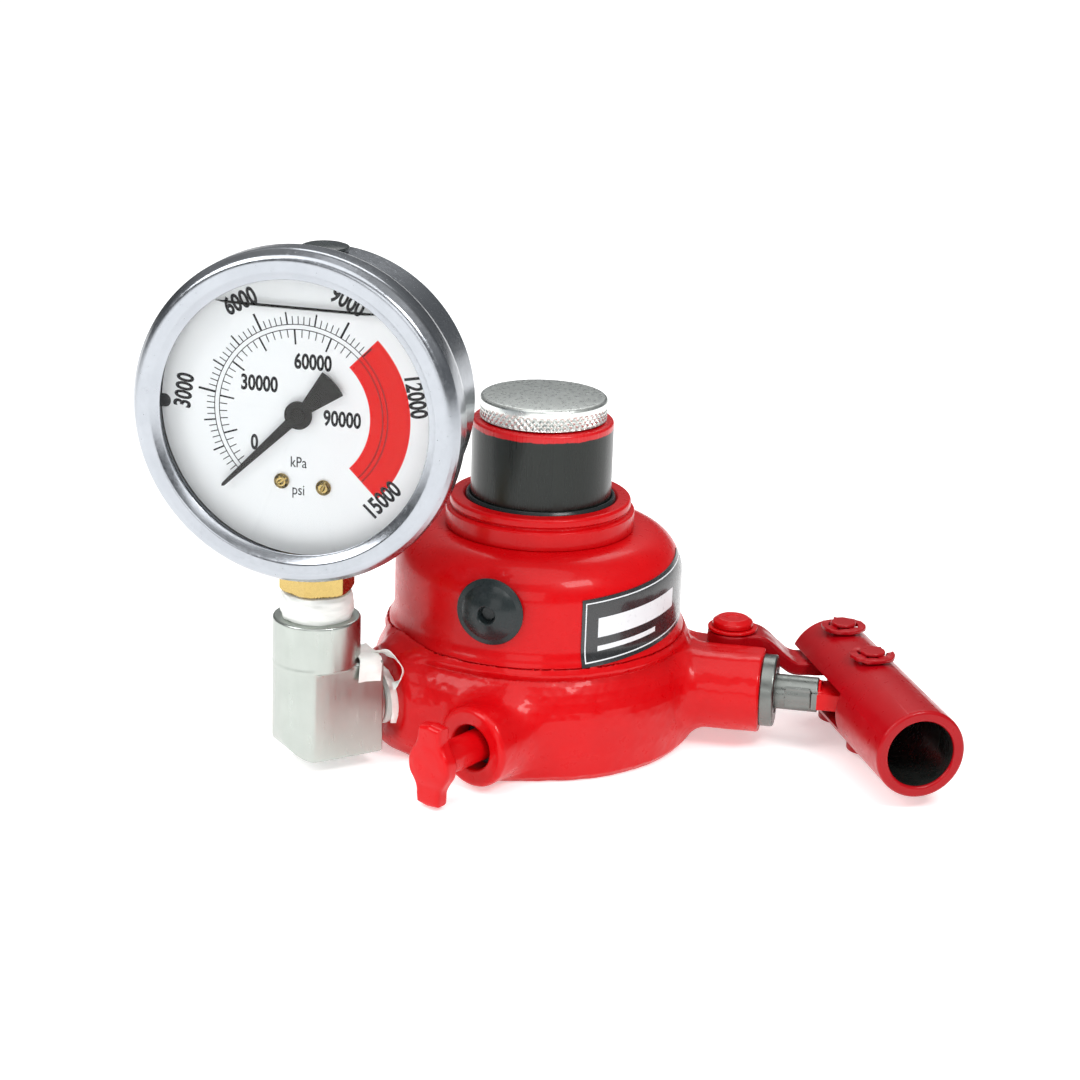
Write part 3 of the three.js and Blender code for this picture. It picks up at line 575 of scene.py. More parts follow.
def flat_finish(name, dark, light, low, high, **settings):
    """Paint, print and moulded plastic without a strong texture."""
    return finish(name, (120, 4), dark, light, (480, 3), low, high, (960, 2), 0.00001, **settings)


def metal_finish(name, dark, light, low, high, grain=(1, 1, 1), depth=0.00003):
    """Bare or plated metal. grain stretches its fine marks along one direction."""
    f = Finish(name).set(Metallic=1.0)
    marks = f.noise(600, 4, 0.6, f.stretched(*grain))
    f.colour(f.noise(70, 5, 0.6), dark, light)
    f.rough(marks, low, high)
    f.bump(marks, depth, 0.5)
    return f.material


def drawn_marks(f):
    """Streaks along Z, as drawing or grinding leaves them: in the gloss and, very lightly, raised."""
    streaks = f.noise(260, 4, 0.6, f.stretched(1, 1, 0.06))
    f.rough(streaks, 0.2, 0.36)
    f.bump(streaks, 0.00003, 0.4)
    return streaks


def black_oxide_finish():
    """Oiled black steel."""
    f = Finish("black_oxide").set(Metallic=0.55, Specular_IOR_Level=0.6)
    f.colour(drawn_marks(f), (0.012, 0.014, 0.013), (0.045, 0.050, 0.046))
    return f.material


def tape_finish():
    """Thread tape: soft white, with fine stretch marks along it."""
    f = Finish("white_tape").set(Subsurface_Weight=0.15, Specular_IOR_Level=0.3)
    f.shader.inputs["Subsurface Radius"].default_value = (0.001, 0.001, 0.001)
    lines = f.noise(700, 4, 0.7, f.stretched(0.3, 0.3, 2.5))
    f.colour(lines, (0.80, 0.82, 0.78), (0.92, 0.93, 0.90))
    f.rough(f.noise(300), 0.4, 0.6)
    f.bump(lines, 0.0001, 0.6)
    return f.material


def clear_finish(name, tint, gloss):
    """A thin clear pane: mostly see-through, mirroring more towards its edges."""
    f = Finish(name)
    f.tree.nodes.remove(f.shader)
    clear = f.node("ShaderNodeBsdfTransparent")
    clear.inputs["Color"].default_value = (*tint, 1)
    mirror = f.node("ShaderNodeBsdfGlossy")
    mirror.inputs["Roughness"].default_value = gloss
    edge = f.node("ShaderNodeFresnel")
    edge.inputs["IOR"].default_value = 1.25
    both = f.node("ShaderNodeMixShader")
    f.join(edge.outputs[0], both.inputs[0])
    f.join(clear.outputs[0], both.inputs[1])
    f.join(mirror.outputs[0], both.inputs[2])
    f.join(both.outputs[0], f.tree.nodes["Material Output"].inputs["Surface"])
    return f.material


def ram_finish():
    """Black oxide with the red overspray left round the ram's top end."""
    f = Finish("ram_black_oxide").set(Specular_IOR_Level=0.4)
    split = f.node("ShaderNodeSeparateXYZ")
    f.join(f.coords, split.inputs[0])
    wave = f.node("ShaderNodeMath", operation="MULTIPLY_ADD")
    f.join(f.noise(240, 3), wave.inputs[0])
    wave.inputs[1].default_value = 0.0012
    f.join(split.outputs["Z"], wave.inputs[2])
    edge = (RAM_TOP - 2.6) * MM + 0.0006
    painted = f.spread(wave.outputs[0], 0, 1, edge - 0.00015, edge + 0.00015)
    steel = f.mixed(drawn_marks(f), (0.006, 0.008, 0.007), (0.022, 0.026, 0.023))
    f.join(f.mixed(painted, steel, (0.55, 0.004, 0.007)), f.shader.inputs["Base Color"])
    f.join(f.spread(painted, 0.35, 0, 0, 1), f.shader.inputs["Metallic"])
    return f.material


RED = finish("red_paint", (90, 4), (0.50, 0.001, 0.003), (0.60, 0.003, 0.005), (350, 3), 0.24, 0.38,
             (70, 1, 0.4), 0.0004, 0.3, Coat_Weight=0.15, Coat_Roughness=0.05, Specular_IOR_Level=0.12)
RED_CAST = cast_paint_finish("red_paint_cast", (0.49, 0.001, 0.003), (0.58, 0.002, 0.004))
# A darker copy of the cast red paint for the link, socket, pins and clips: painted shade for the shadow
# these parts lie in.
RED_SHADED = cast_paint_finish("red_paint_shaded", (0.30, 0.001, 0.004), (0.38, 0.002, 0.006))
BLACK_OXIDE = black_oxide_finish()
RAM_BLACK = ram_finish()
ZINC = metal_finish("bright_zinc", (0.66, 0.69, 0.66), (0.80, 0.83, 0.80), 0.24, 0.36, depth=0.00001)
PALE_ZINC = metal_finish("pale_zinc", (0.36, 0.39, 0.36), (0.46, 0.49, 0.46), 0.26, 0.38, (1, 1, 0.15))
STEEL = metal_finish("bare_steel", (0.13, 0.14, 0.13), (0.22, 0.23, 0.22), 0.24, 0.42)
POLISHED = metal_finish("polished_steel", (0.34, 0.36, 0.39), (0.43, 0.45, 0.48), 0.18, 0.28)
BRASS = metal_finish("brass", (0.40, 0.28, 0.09), (0.54, 0.40, 0.15), 0.2, 0.34)
BRONZE = metal_finish("bronze", (0.40, 0.22, 0.08), (0.52, 0.30, 0.12), 0.28, 0.45)
RUBBER = finish("black_rubber", (160, 4), (0.010, 0.014, 0.015), (0.020, 0.027, 0.028),
                (400, 3), 0.22, 0.34, (1500, 2), 0.00003, Specular_IOR_Level=0.3)
SEAL = finish("seal_plastic", (200, 3), (0.03, 0.11, 0.07), (0.05, 0.15, 0.09), (500, 3), 0.45, 0.6)
TAPE = tape_finish()
# The dial's white glows faintly through its emission: painted light that brightens the recessed dial.
GLOWING_DIAL_WHITE = flat_finish("dial_white", (0.86, 0.88, 0.90), (0.91, 0.92, 0.93), 0.45, 0.55,
                         Specular_IOR_Level=0.15, Emission_Color=(1, 1, 1, 1), Emission_Strength=0.12)
PRINT = flat_finish("black_print", (0.008, 0.008, 0.010), (0.016, 0.016, 0.018), 0.5, 0.6,
                    Specular_IOR_Level=0.1)
RED_PRINT = flat_finish("red_print", (0.86, 0.003, 0.002), (0.90, 0.006, 0.004), 0.5, 0.6,
                        Specular_IOR_Level=0.05)
POINTER = flat_finish("pointer_black", (0.010, 0.009, 0.008), (0.020, 0.018, 0.016), 0.35, 0.5,
                      Specular_IOR_Level=0.2)
PLATE = flat_finish("plate_black", (0.012, 0.013, 0.014), (0.024, 0.026, 0.028), 0.2, 0.32, Coat_Weight=0.3)
PLATE_PALE = flat_finish("plate_pale", (0.66, 0.68, 0.70), (0.76, 0.78, 0.80), 0.25, 0.4)
CLEAR = clear_finish("clear_window", (0.985, 0.99, 0.99), 0.02)
LIQUID = clear_finish("clear_liquid", (0.93, 0.94, 0.93), 0.03)


# ---------------------------------------------------------------------------------------------
# Base casting
# ---------------------------------------------------------------------------------------------

FINE = 1      # coarser fields while trying things out


def base_field(p):
    pump, port, valve = local(p, PUMP), local(p, PORT), local(p, VALVE)
    across = local(p, plan(PUMP_ANGLE))
    shell = turned_field(p, [
        (0, 1.2), (55, 1.2), (56.6, 3), (57.4, 10), *arc(34, 20, 23.4, 0, 42, 6),
        (53.2, 38.2), (52.6, 39.6), (0, 39.9),
    ], 1.2)
    boss = rod_field(pump, 15.3, 36, PUMP_FACE, 1.1)
    boss = smooth_cut(boss, 35.0 - p[:, 2], 1.0)
    ear = box_field(across, (45, -2, 11), (79, 26, LINK_LEVEL - 0.5), 1.4)
    ear_end = np.hypot(np.maximum(across[:, 0] - 70, 0), np.maximum(across[:, 1] - 17, 0))
    ear = smooth_cut(ear, 9.0 - ear_end, 1.0)
    port_boss = rod_field(port, 16.2, 36, 60.4, 1.4)
    valve_boss = rod_field(valve, 14.2, 30, 64.6, 2.2)
    body = smooth_join(shell, smooth_join(boss, ear, 2.5), 7)
    body = smooth_join(body, port_boss, 12)
    body = smooth_join(body, valve_boss, 6)
    body = body + 0.10 * wobble(p, 9, 1) + 0.035 * wobble(p, 3, 2)
    body = np.maximum(body, -p[:, 2] + 0.02)
    body = np.maximum(body, np.where(np.hypot(p[:, 0], p[:, 1]) < 53.3, p[:, 2] - 39.9, -9))
    for hole, edge in (
        (rod_field(p, 33.8, FLOOR_HEIGHT, 60, 0.05), 0.3),
        (rod_field(pump, 10.9, 42, 90, 0.05), 0.5),
        (rod_field(pump, 3.8, 34.9, 43, 0.05), 0.2),
        (rod_field(valve, 8.0, 50.7, 70, 0.3), 1.2),
        (rod_field(valve, 4.7, 30, 65, 0.05), 0.3),
        (rod_field(port, 9.2, 45, 70, 0.05), 0.9),
        (rod_field(across - [38.5, 0, 0], 3.4, 21, 31, 0.05), 0.2),
        (rod_field(across - [38.5, 0, 0], 2.0, 12, 41, 0.05), 0.2),
        (rod_field(across - [38.5, 0, 0], 3.6, -2, 14, 0.05), 0.3),
        (rod_field(across - [*BOLT, 0], 4.0, 14, 40, 0.05), 0.3),
    ):
        body = smooth_cut(body, hole, edge)
    return body


wear(sculpted("base_casting_skin", base_field, (-66, -74, -1), (88, 62, 42), 0.62 * FINE),
     RED_CAST, "base_casting", slot="red_paint")


# ---------------------------------------------------------------------------------------------
# Oil reservoir housing, filler plug and name plate
# ---------------------------------------------------------------------------------------------

SHOULDER = 15
SKIRT_HEIGHT, SKIRT_FLARE = 7, 10


def housing_radius(height):
    top = BASE_HEIGHT + SKIRT_HEIGHT
    if height < top:
        drop = min(top - height, 6)
        return HOUSING_RADIUS + SKIRT_FLARE - math.sqrt(SKIRT_FLARE ** 2 - drop ** 2)
    rise = max(0, height - (HOUSING_TOP - SHOULDER))
    return HOUSING_RADIUS - SHOULDER + math.sqrt(SHOULDER ** 2 - rise ** 2)


centre = HOUSING_RADIUS - SHOULDER
foot = housing_radius(BASE_HEIGHT)
housing = lathe("reservoir_housing_skin", [
    (47.2, BASE_HEIGHT), (foot, BASE_HEIGHT, 0.6),
    *arc(HOUSING_RADIUS + SKIRT_FLARE, BASE_HEIGHT + SKIRT_HEIGHT, SKIRT_FLARE, 217, 180, 8)[1:],
    *arc(centre, HOUSING_TOP - SHOULDER, SHOULDER, 0, 90, 16),
    (28.3, HOUSING_TOP), (28.3, HOUSING_TOP - 3),
    *arc(centre, HOUSING_TOP - SHOULDER + 1, SHOULDER - 4, 90, 0, 8),
], segments=224)
cut(housing, rod("filler_hole", 8, 40, 60, FILLER))
wear(housing, RED, "reservoir_housing", slot="red_paint")

seat = HOUSING_RADIUS + 0.9
plug = lathe("filler_plug_skin", [
    (0, 43), (6.7, 43, 0.8), (7.7, 46), (7.7, seat), (11.9, seat, 0.6), (11.9, seat + 0.8, 0.5),
    *arc(0, seat - 9, 14.4, 42, 76, 8)[1:], (3.0, seat + 4.6, 0.8), (2.4, seat + 1.4), (0, seat + 1.2),
], FILLER, 96)
wear(plug, RUBBER, "filler_plug")


def bent_plate(name, x0, x1, z0, z1, lift, thick, look, **dress):
    """A flat strip laid on the housing: x from 0 to 62 along the plate, z from 0 to 23.7 up it."""
    columns = max(2, math.ceil((x1 - x0) / 0.7))
    rows = max(2, math.ceil((z1 - z0) / 1.2))
    along = np.linspace(x0, x1, columns + 1)
    up = np.linspace(z0, z1, rows + 1)
    points = []
    for raised in (lift, lift + thick):
        for z in up:
            for x in along:
                level = BASE_HEIGHT + 0.4 + z + 5.2 * x / 62
                out = housing_radius(level) + raised
                a = math.radians(LABEL_ANGLE) + x / HOUSING_RADIUS
                points.append((out * math.cos(a), out * math.sin(a), level))
    faces = sheet_faces(rows + 1, columns + 1)
    return wear(make(name, np.array(points), faces, sharp=35), look, **dress)


bent_plate("name_plate_skin", 0, 62, 0, 23.7, 0.05, 0.35, PLATE, body="base", slot="black_print")
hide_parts("name_plate")
for number, (x0, x1, z0, z1) in enumerate((
    (1.2, 60.8, 1.2, 1.6), (1.2, 60.8, 22.1, 22.5), (1.2, 1.6, 1.6, 22.1), (60.4, 60.8, 1.6, 22.1),
    (6, 44, 9.5, 16.5), (6, 32, 4.6, 6.4),
), 1):
    bent_plate(f"name_plate_band_{number}", x0, x1, z0, z1, 0.36, 0.08, PLATE_PALE,
               body="base", slot="dial_white")


# ---------------------------------------------------------------------------------------------
# Lift: top nut, wiper, ram and extension screw
# ---------------------------------------------------------------------------------------------

nut = lathe("top_nut_skin", [
    (25.3, 67), (27.7, 67), (27.7, HOUSING_TOP), (33.6, HOUSING_TOP, 0.5), (33.6, 82.6, 1.3),
    (32.6, 83, 0.4), (31.7, 83.1, 0.3), (31.5, 83.6, 0.3), (31.9, 84.1, 0.3), (32.2, 84.3, 0.5),
    (32.2, 87.1, 1.6), (27.6, 87.2, 0.8), (26.9, 86.4), (26.9, 83.4), (25.3, 83.4), (25.3, 80.2),
    (27.2, 80.2), (27.2, 77.6), (25.3, 77.6),
], segments=192)
wear(nut, RED, "top_nut", slot="red_paint")
wiper = lathe("wiper_seal_skin", [
    (25.15, 83.7), (26.7, 83.7), (26.8, 86.8, 1.2), (26.0, 88.1, 0.9), (25.15, 87.7, 0.4),
], segments=160)
wear(wiper, RUBBER, "wiper_seal")
ram = lathe("ram_skin", [
    (0, 19.5), (19.8, 19.5, 0.8), (19.8, 20.6), (18.4, 20.6), (18.4, 22.2), (19.8, 22.2),
    (19.8, 29.6), (25, 29.6), (25, 60), (25, RAM_TOP, 1.1), (16.3, RAM_TOP, 0.6), (16.3, 64), (0, 58),
], segments=192)
wear(ram, RAM_BLACK, "ram", slot="black_oxide")


def triangle(value):
    """A wave from 0 to 1 and back each time value grows by 1."""
    return 1 - np.abs((value % 1.0) * 2 - 1)


def screw_shift(angle, level, size):
    """The extension screw's thread, and the diamond knurl round its saddle."""
    turns = angle / (2 * math.pi)
    thread = -1.1 * (1 - np.clip(triangle(level / 3 - turns) * 1.5 - 0.15, 0, 1))
    on_thread = (level > 69) & (level < 113.4) & (size > 15)
    one, other = triangle(turns * 58 + level / 2.5), triangle(turns * 58 - level / 2.5)
    knurl = -0.55 * (1 - np.minimum(1, 1.5 * np.minimum(one, other)))
    inside = np.clip(np.minimum(level - 115.7, 120.3 - level) / 0.25, 0, 1)
    return np.where(on_thread, thread, 0) + np.where(size > 22, knurl * inside, 0)


levels = 6
thread_rows = [(15.9, z) for z in np.linspace(68.5, 114, 46 * levels // 2)]
knurl_rows = [(22.4, z) for z in np.linspace(115.9, 120.4, 5 * levels)]
screw = lathe("extension_screw_skin", [
    (0, 66), (13.9, 66), *thread_rows, (15.9, 115.2), (21.8, 115.2), (22.4, 115.7), *knurl_rows,
    (22.5, 120.7), (22.5, 122.2), (22.2, 122.8), (21.6, 123.2), (20.9, 123.3), (0, 123.3),
], segments=58 * 12, radius=0.05, shift=screw_shift)
wear(screw, ZINC, "extension_screw")


# ---------------------------------------------------------------------------------------------
# Pump, link and handle socket
# ---------------------------------------------------------------------------------------------

pump = lathe("pump_cylinder_skin", [
    (6.5, 42), (10.6, 42), (10.6, PUMP_FACE), (12.9, PUMP_FACE, 0.3), (12.9, PUMP_FACE + 5, 1.0),
    (8.15, PUMP_FACE + 5, 0.5), (8.15, PUMP_FACE + 1.4), (6.5, PUMP_FACE + 1.4), (6.5, 78), (8.6, 78),
    (8.6, 72), (6.5, 72),
], PUMP)
wear(pump, STEEL, "pump_cylinder")


def plunger_field(p):
    p = p[:, [2, 1, 0]]
    round_part = rod_field(p, 6.25, 57, 103, 0.35)
    neck = rod_field(p, 5.5, 90, 104, 0.4)
    side = np.abs(p[:, 1])
    flats = np.where(p[:, 2] > 91.5, side - 5.1, -9)
    round_part = smooth_join(smooth_cut(round_part, -flats, 0.35), neck, 0.3)
    width = np.hypot(p[:, 1], np.maximum(p[:, 2] - PLUNGER_PIN, 0)) - 7.5
    tongue = np.maximum(np.maximum(width, np.abs(p[:, 0]) - 3), 101 - p[:, 2])
    shape = smooth_join(round_part, tongue, 1.2)
    eye = np.hypot(p[:, 1], p[:, 2] - PLUNGER_PIN) - 4.8
    return smooth_cut(shape, eye, 0.4)


plunger = sculpted("plunger_skin", plunger_field, (56, -9, -9), (130, 9, 9), 0.4 * FINE,
                   plan(PUMP_ANGLE, PUMP_HEIGHT))
wear(plunger, STEEL, "plunger")
PAINTED_FROM = 103.2             # the plunger's outer end was painted with the socket
repaint(plunger, RED, plan(PUMP_ANGLE, PUMP_HEIGHT), lambda x, y, z: x > PAINTED_FROM)


SLOPE = (7.5, 24.5)              # where the link steps down, measured from its bolt


def link_field(p):
    along = np.clip(p[:, 0] / LINK_LENGTH, 0, 1)
    outline = np.minimum(np.hypot(p[:, 0] - along * LINK_LENGTH, p[:, 1]) - 7.6,
                         np.minimum(np.hypot(p[:, 0], p[:, 1]) - 9.0,
                                    np.hypot(p[:, 0] - LINK_LENGTH, p[:, 1]) - 9.4))
    drop = LINK_LEVEL - PUMP_HEIGHT - 0.4
    s = np.clip((p[:, 0] - SLOPE[0]) / (SLOPE[1] - SLOPE[0]), 0, 1)
    middle = LINK_LEVEL + 2.4 - drop * s * s * (3 - 2 * s)
    tilt = 1 / np.sqrt(1 + (drop * 6 * s * (1 - s) / (SLOPE[1] - SLOPE[0])) ** 2)
    thick = np.abs(p[:, 2] - middle) * tilt - 2.4
    bar = smooth_cut(outline, -thick, 1.0)
    holes = np.minimum(np.hypot(p[:, 0], p[:, 1]) - 4.8,
                       np.hypot(p[:, 0] - LINK_LENGTH, p[:, 1]) - 6.0)
    return smooth_cut(bar, holes, 0.5) + 0.05 * wobble(p, 5, 3)


wear(sculpted("link_skin", link_field, (-10, -11, 20), (LINK_LENGTH + 11, 11, 38.5), 0.42 * FINE, LINK),
     RED_SHADED, "link", slot="red_paint")
under = LINK_LEVEL + 4.8 + 1.6
bolt = lathe("link_bolt_skin", [
    (0, 15), (3.7, 15), (3.7, 31.6), (4.3, 31.6), (4.3, under), (7.4, under, 0.4),
    (7.4, under + 1.8, 1.2), (5.4, under + 3.2, 1.2), (3.0, under + 3.2, 0.6), (2.2, under + 2.8, 0.5),
    (0, under + 2.8),
], LINK, 64)
wear(bolt, RED_CAST, "link_bolt", slot="red_paint")
washer = lathe("link_washer_skin", [(4.7, 36.9), (9, 36.9, 0.4), (9, 38.1, 0.5), (4.7, 38.1)], LINK, 64)
wear(washer, RED_CAST, "link_washer", slot="red_paint")

SOCKET_AXIS = SOCKET @ turn("X", 90)       # Z towards the socket's mouth
mouth, back = 50.9, -42.1
SOCKET_BORE, SOCKET_OUTER = 11.8, 15.75
PAINT_EDGE = 11.95               # the paint of the socket's ends stops just outside its bore
socket = lathe("handle_socket_skin", [
    (SOCKET_BORE, back, 0.4), (SOCKET_OUTER, back, 0.9),
    (SOCKET_OUTER, mouth, 1.3), (SOCKET_BORE, mouth, 1.0),
], SOCKET_AXIS, 128)
slot_cut = prism("slot_cut", [(-18, -9), (-4, -9), (-4, 44), (-18, 44)], -6.7, 6.7, SOCKET, 0.01, 0.01)
cut(socket, slot_cut, rod("hole_1", 4.8, -20, 20, SOCKET),
    rod("hole_2", 4.8, -20, 20, SOCKET @ move(0, PIN_SPACING, 0)))
wear(socket, RED_SHADED, "handle_socket", slot="red_paint")
repaint(socket, BLACK_OXIDE, SOCKET_AXIS,
        lambda x, y, z: math.hypot(x, y) < PAINT_EDGE and z < mouth - 2.5)


def clip_field(p):
    """An E-clip: an open ring with three teeth that reach into the pin's groove."""
    angle = np.degrees(np.arctan2(p[:, 1], p[:, 0])) % 360
    size = np.hypot(p[:, 0], p[:, 1])
    near = np.min([np.abs(angle - a) for a in (90, 180, 270)], 0)
    inner = np.where(near < 17, 3.7, 5.3)
    ring = np.maximum(size - 8.1, inner - size)
    gap = 20 - np.minimum(angle, 360 - angle)
    ring = np.maximum(ring, gap * np.radians(1) * size)
    shape = smooth_cut(ring, 0.75 - np.abs(p[:, 2] - 17.05), 0.5)
    return shape + 0.12 * wobble(p, 3, 8)


for name, offset, swing in (("plunger_pin", 0, 25), ("link_pin", PIN_SPACING, 115)):
    spot = SOCKET @ move(0, offset, 0)
    pin = lathe(f"{name}_skin", [
        (0, -18.75), (6.8, -18.75, 0.7), (6.8, -16.15, 0.5), (4.5, -16.15), (4.5, 16.25),
        (3.4, 16.25), (3.4, 17.75), (4.5, 17.75, 0.3), (4.5, 18.95, 1.0), (0, 18.95),
    ], spot, 64)
    wear(pin, RED_SHADED, name, slot="red_paint")
    clip = sculpted(f"{name}_clip_skin", clip_field, (-9.5, -9.5, 15.6), (9.5, 9.5, 18.6), 0.2 * FINE,
                    spot @ turn("Z", swing))
    wear(clip, RED_SHADED, f"{name}_clip", slot="red_paint")


# ---------------------------------------------------------------------------------------------
# Release valve
# ---------------------------------------------------------------------------------------------

def valve_field(p):
    stem = rod_field(p, 5.6, 51, 86, 0.5)
    tip = rod_field(p, 4.2, 37, 52, 0.4)
    groove = np.maximum(np.abs(p[:, 2] - 56.1) - 1.4, 4.3 - np.hypot(p[:, 0], p[:, 1]))
    stem = np.maximum(smooth_join(stem, tip, 0.3), -groove)
    depth = np.abs(p[:, 2] - 84) - 2.9
    disc = np.hypot(p[:, 0], p[:, 1]) - 8.8
    reach = 14.6 - 0.6 * np.abs(p[:, 1]) / 4
    wing = np.maximum(np.abs(p[:, 1]) - 4.5 + 0.5 * np.cos(p[:, 0] / 3.2), np.abs(p[:, 0]) - reach)
    knob = smooth_cut(smooth_join(disc, wing, 3.0), -depth, 1.8)
    return smooth_join(stem, knob, 2.5) + 0.07 * wobble(p, 5, 4)


wear(sculpted("release_valve_skin", valve_field, (-17, -10, 36), (17, 10, 90), 0.42 * FINE, VALVE),
     RED_CAST, "release_valve", slot="red_paint")


# ---------------------------------------------------------------------------------------------
# Elbow, its tapes and the gauge's stem
# ---------------------------------------------------------------------------------------------

ELBOW = plan(ELBOW_ANGLE)
POST_RADIUS, FLAT, INNER_END = 15.15, 13.2, 19.3     # of its body, from the stem's axis
ELBOW_FOOT, ELBOW_TOP, POST_TOP = 5.6, 39.6, 55
BEND_OUT, BEND_HEIGHT, BEND_RADIUS = 5.1, 15.6, 10   # the round of its outer lower corner


def elbow_field(p):
    q = p - [STEM_DISTANCE, 0, 0]
    arm = local(p, lying(0, PORT_HEIGHT))
    block = np.maximum(np.hypot(np.maximum(q[:, 0], 0), q[:, 1]) - POST_RADIUS, -q[:, 0] - INNER_END)
    block = smooth_cut(block, FLAT - np.abs(q[:, 1]), 0.5)
    block = smooth_cut(block, np.minimum(p[:, 2] - ELBOW_FOOT, ELBOW_TOP - p[:, 2]), 1.2)
    out, down = q[:, 0] - BEND_OUT, BEND_HEIGHT - p[:, 2]
    low_corner = (out > 0) & (down > 0)
    corner = np.hypot(np.maximum(out, 0), np.maximum(down, 0)) - BEND_RADIUS
    block = smooth_cut(block, -np.where(low_corner, corner, -9), 0.4)
    leg = rod_field(q, 15.1, 38, POST_TOP, 0.9)
    body = smooth_join(block, leg, 0.6)
    collar = np.minimum(rod_field(arm, 11.3, 66.3, 72, 0.8), rod_field(arm, 8.4, 45.4, 70, 0.5))
    turns = np.arctan2(arm[:, 1], arm[:, 0]) / 6.2832
    thread = np.clip(triangle(arm[:, 2] / 1.8 - turns) * 1.4, 0, 1)
    collar = collar + np.where(arm[:, 2] < 66.1, 0.7 * (1 - thread), 0)
    body = smooth_join(body, collar, 0.6)
    bores = np.minimum(rod_field(q, 10.95, 40, 60, 0.05), rod_field(q, 4, PORT_HEIGHT, 56, 0.1))
    bores = np.minimum(bores, rod_field(arm, 4, 40, 89, 0.1))
    return smooth_cut(body, bores, 0.7)


wear(sculpted("elbow_skin", elbow_field, (44, -17, 4), (105, 17, 57), 0.5 * FINE, ELBOW),
     PALE_ZINC, "elbow", slot="bright_zinc")


def tape_shift(depth, seed):
    def shift(angle, level, size):
        spots = np.stack([size * np.cos(angle), size * np.sin(angle), level], -1).reshape(-1, 3)
        wrinkles = wobble(spots * [0.6, 0.6, 1.6], 3, seed).reshape(angle.shape)
        return depth * wrinkles * (size > size.min() + 0.3)
    return shift


tape_rows = [(11.5 + 1.2 * math.sin(math.pi * t) ** 0.6, 54.6 + 9.6 * t)
             for t in np.linspace(0.03, 0.97, 20)]
stem_tape = lathe("stem_tape_skin", [
    (10.5, 48), (10.78, 48), (10.78, 54.6), *tape_rows, (10.5, 64.3),
], STEM, 128, 0.05, tape_shift(0.22, 5))
wear(stem_tape, TAPE, "stem_tape")
port_rows = [(9.6 + 0.9 * math.sin(math.pi * t), 60.9 + 4.4 * t) for t in np.linspace(0.05, 0.95, 9)]
port_tape = lathe("port_tape_skin", [
    (8.5, 50), (8.8, 50), (8.8, 60.9), *port_rows, (8.5, 65.4),
], PORT, 96, 0.05, tape_shift(0.2, 6))
wear(port_tape, TAPE, "port_tape")


def ribbon(name, path, across, width, seed, ruffle=0.35):
    """A strip of tape along a smooth path of points; across is its width direction at each."""
    path, across = np.array(path, float), np.array(across, float)
    t = np.linspace(0, len(path) - 1, (len(path) - 1) * 12 + 1)
    i = np.clip(t.astype(int), 0, len(path) - 2)
    u = (t - i)[:, None]

    def point(k):
        return path[np.clip(k, 0, len(path) - 1)]

    a, b, c, d = point(i - 1), point(i), point(i + 1), point(i + 2)
    line = 0.5 * (2 * b + (c - a) * u + (2 * a - 5 * b + 4 * c - d) * u ** 2
                  + (3 * b - a - 3 * c + d) * u ** 3)
    wide = across[i] * (1 - u) + across[i + 1] * u
    wide /= np.linalg.norm(wide, axis=1)[:, None]
    ahead = np.gradient(line, axis=0)
    out = np.cross(wide, ahead)
    out /= np.linalg.norm(out, axis=1)[:, None]
    lanes, thick = 9, 0.16
    sheets = []
    for side in (-0.5, 0.5):
        rows = []
        for k in range(lanes):
            share = k / (lanes - 1) - 0.5
            spot = line + wide * share * width
            ragged = wobble(spot, 4, seed)[:, None] * ruffle * abs(share) * 2
            rows.append(spot + out * (ragged + side * thick) + wide * ragged * 0.6)
        sheets.append(np.stack(rows, 1))
    points = np.concatenate([s.reshape(-1, 3) for s in sheets])
    faces = sheet_faces(len(t), lanes)
    made = make(name, points, flipped_if_inside_out(points, faces), ELBOW, sharp=60)
    wear(made, TAPE, body="base", slot="white_tape")


def round_the_arm(along, angle, radius):
    a = math.radians(angle)
    return (along, radius * math.cos(a), PORT_HEIGHT + radius * math.sin(a))


# Loose ends of the tape: one curls off the thread, two lie over the elbow's block
wrap = [round_the_arm(64.2 - 0.25 * k, 175 - 30 * k, 9.9 + 0.06 * k ** 2) for k in range(8)]
ribbon("port_tape_curl", wrap, [(1, 0.1, 0.2)] * len(wrap), 4.2, 11)
drape = [
    (71.5, -3, 40.2), (72.2, 4, 40.5), (73, 9, 41.1),
    (73.6, 12.6, 40.6), (74.2, 13.9, 37.6), (74.6, 14.1, 33),
]
ribbon("port_tape_drape", drape, [(1, 0, 0.1)] * len(drape), 8.5, 12, 0.5)
ribbon("port_tape_hook", [
    (71, 7, 40.2), (67.5, 9.4, 40.9), (63.5, 11.4, 39),
    (61.6, 13, 35.4), (62.4, 14, 31.6), (65.4, 13.6, 29.6),
], [
    (0.1, 0.7, 0.7), (0.1, 0.8, 0.6), (0.3, 0.9, 0.4), (0.5, 0.8, 0.2), (0.5, 0.8, 0.0), (0.3, 0.8, -0.2),
], 4.0, 13)


def gauge_stem_field(p):
    z = p[:, 2] + GAUGE_HEIGHT
    sides = [p[:, 0] * math.cos(a) + p[:, 1] * math.sin(a) for a in np.radians([0, 60, 120])]
    hexagon = np.max(np.abs(sides), 0) - 11.4
    hexagon = np.maximum(hexagon, np.abs(z - 72.3) - 7.8)
    chamfer = np.hypot(p[:, 0], p[:, 1]) + 1.7 * (np.abs(z - 72.3) - 7.8) - 11.9
    hexagon = smooth_cut(hexagon, -chamfer * 0.5, 0.4)
    thread = rod_field(p - [0, 0, 50 - GAUGE_HEIGHT], 10.3, -8, 15.5, 0.6)
    block = box_field(p, (-11, -16.7, 84 - GAUGE_HEIGHT), (11, 8, -16), 0.6)
    neck = rod_field(p - [0, 0, 81.5 - GAUGE_HEIGHT], 9, -4, 4, 0.5)
    shape = np.minimum(np.minimum(hexagon, thread), np.minimum(block, neck))
    return smooth_cut(shape, rod_field(p, 1.6, -95, -30, 0.1), 0.3)


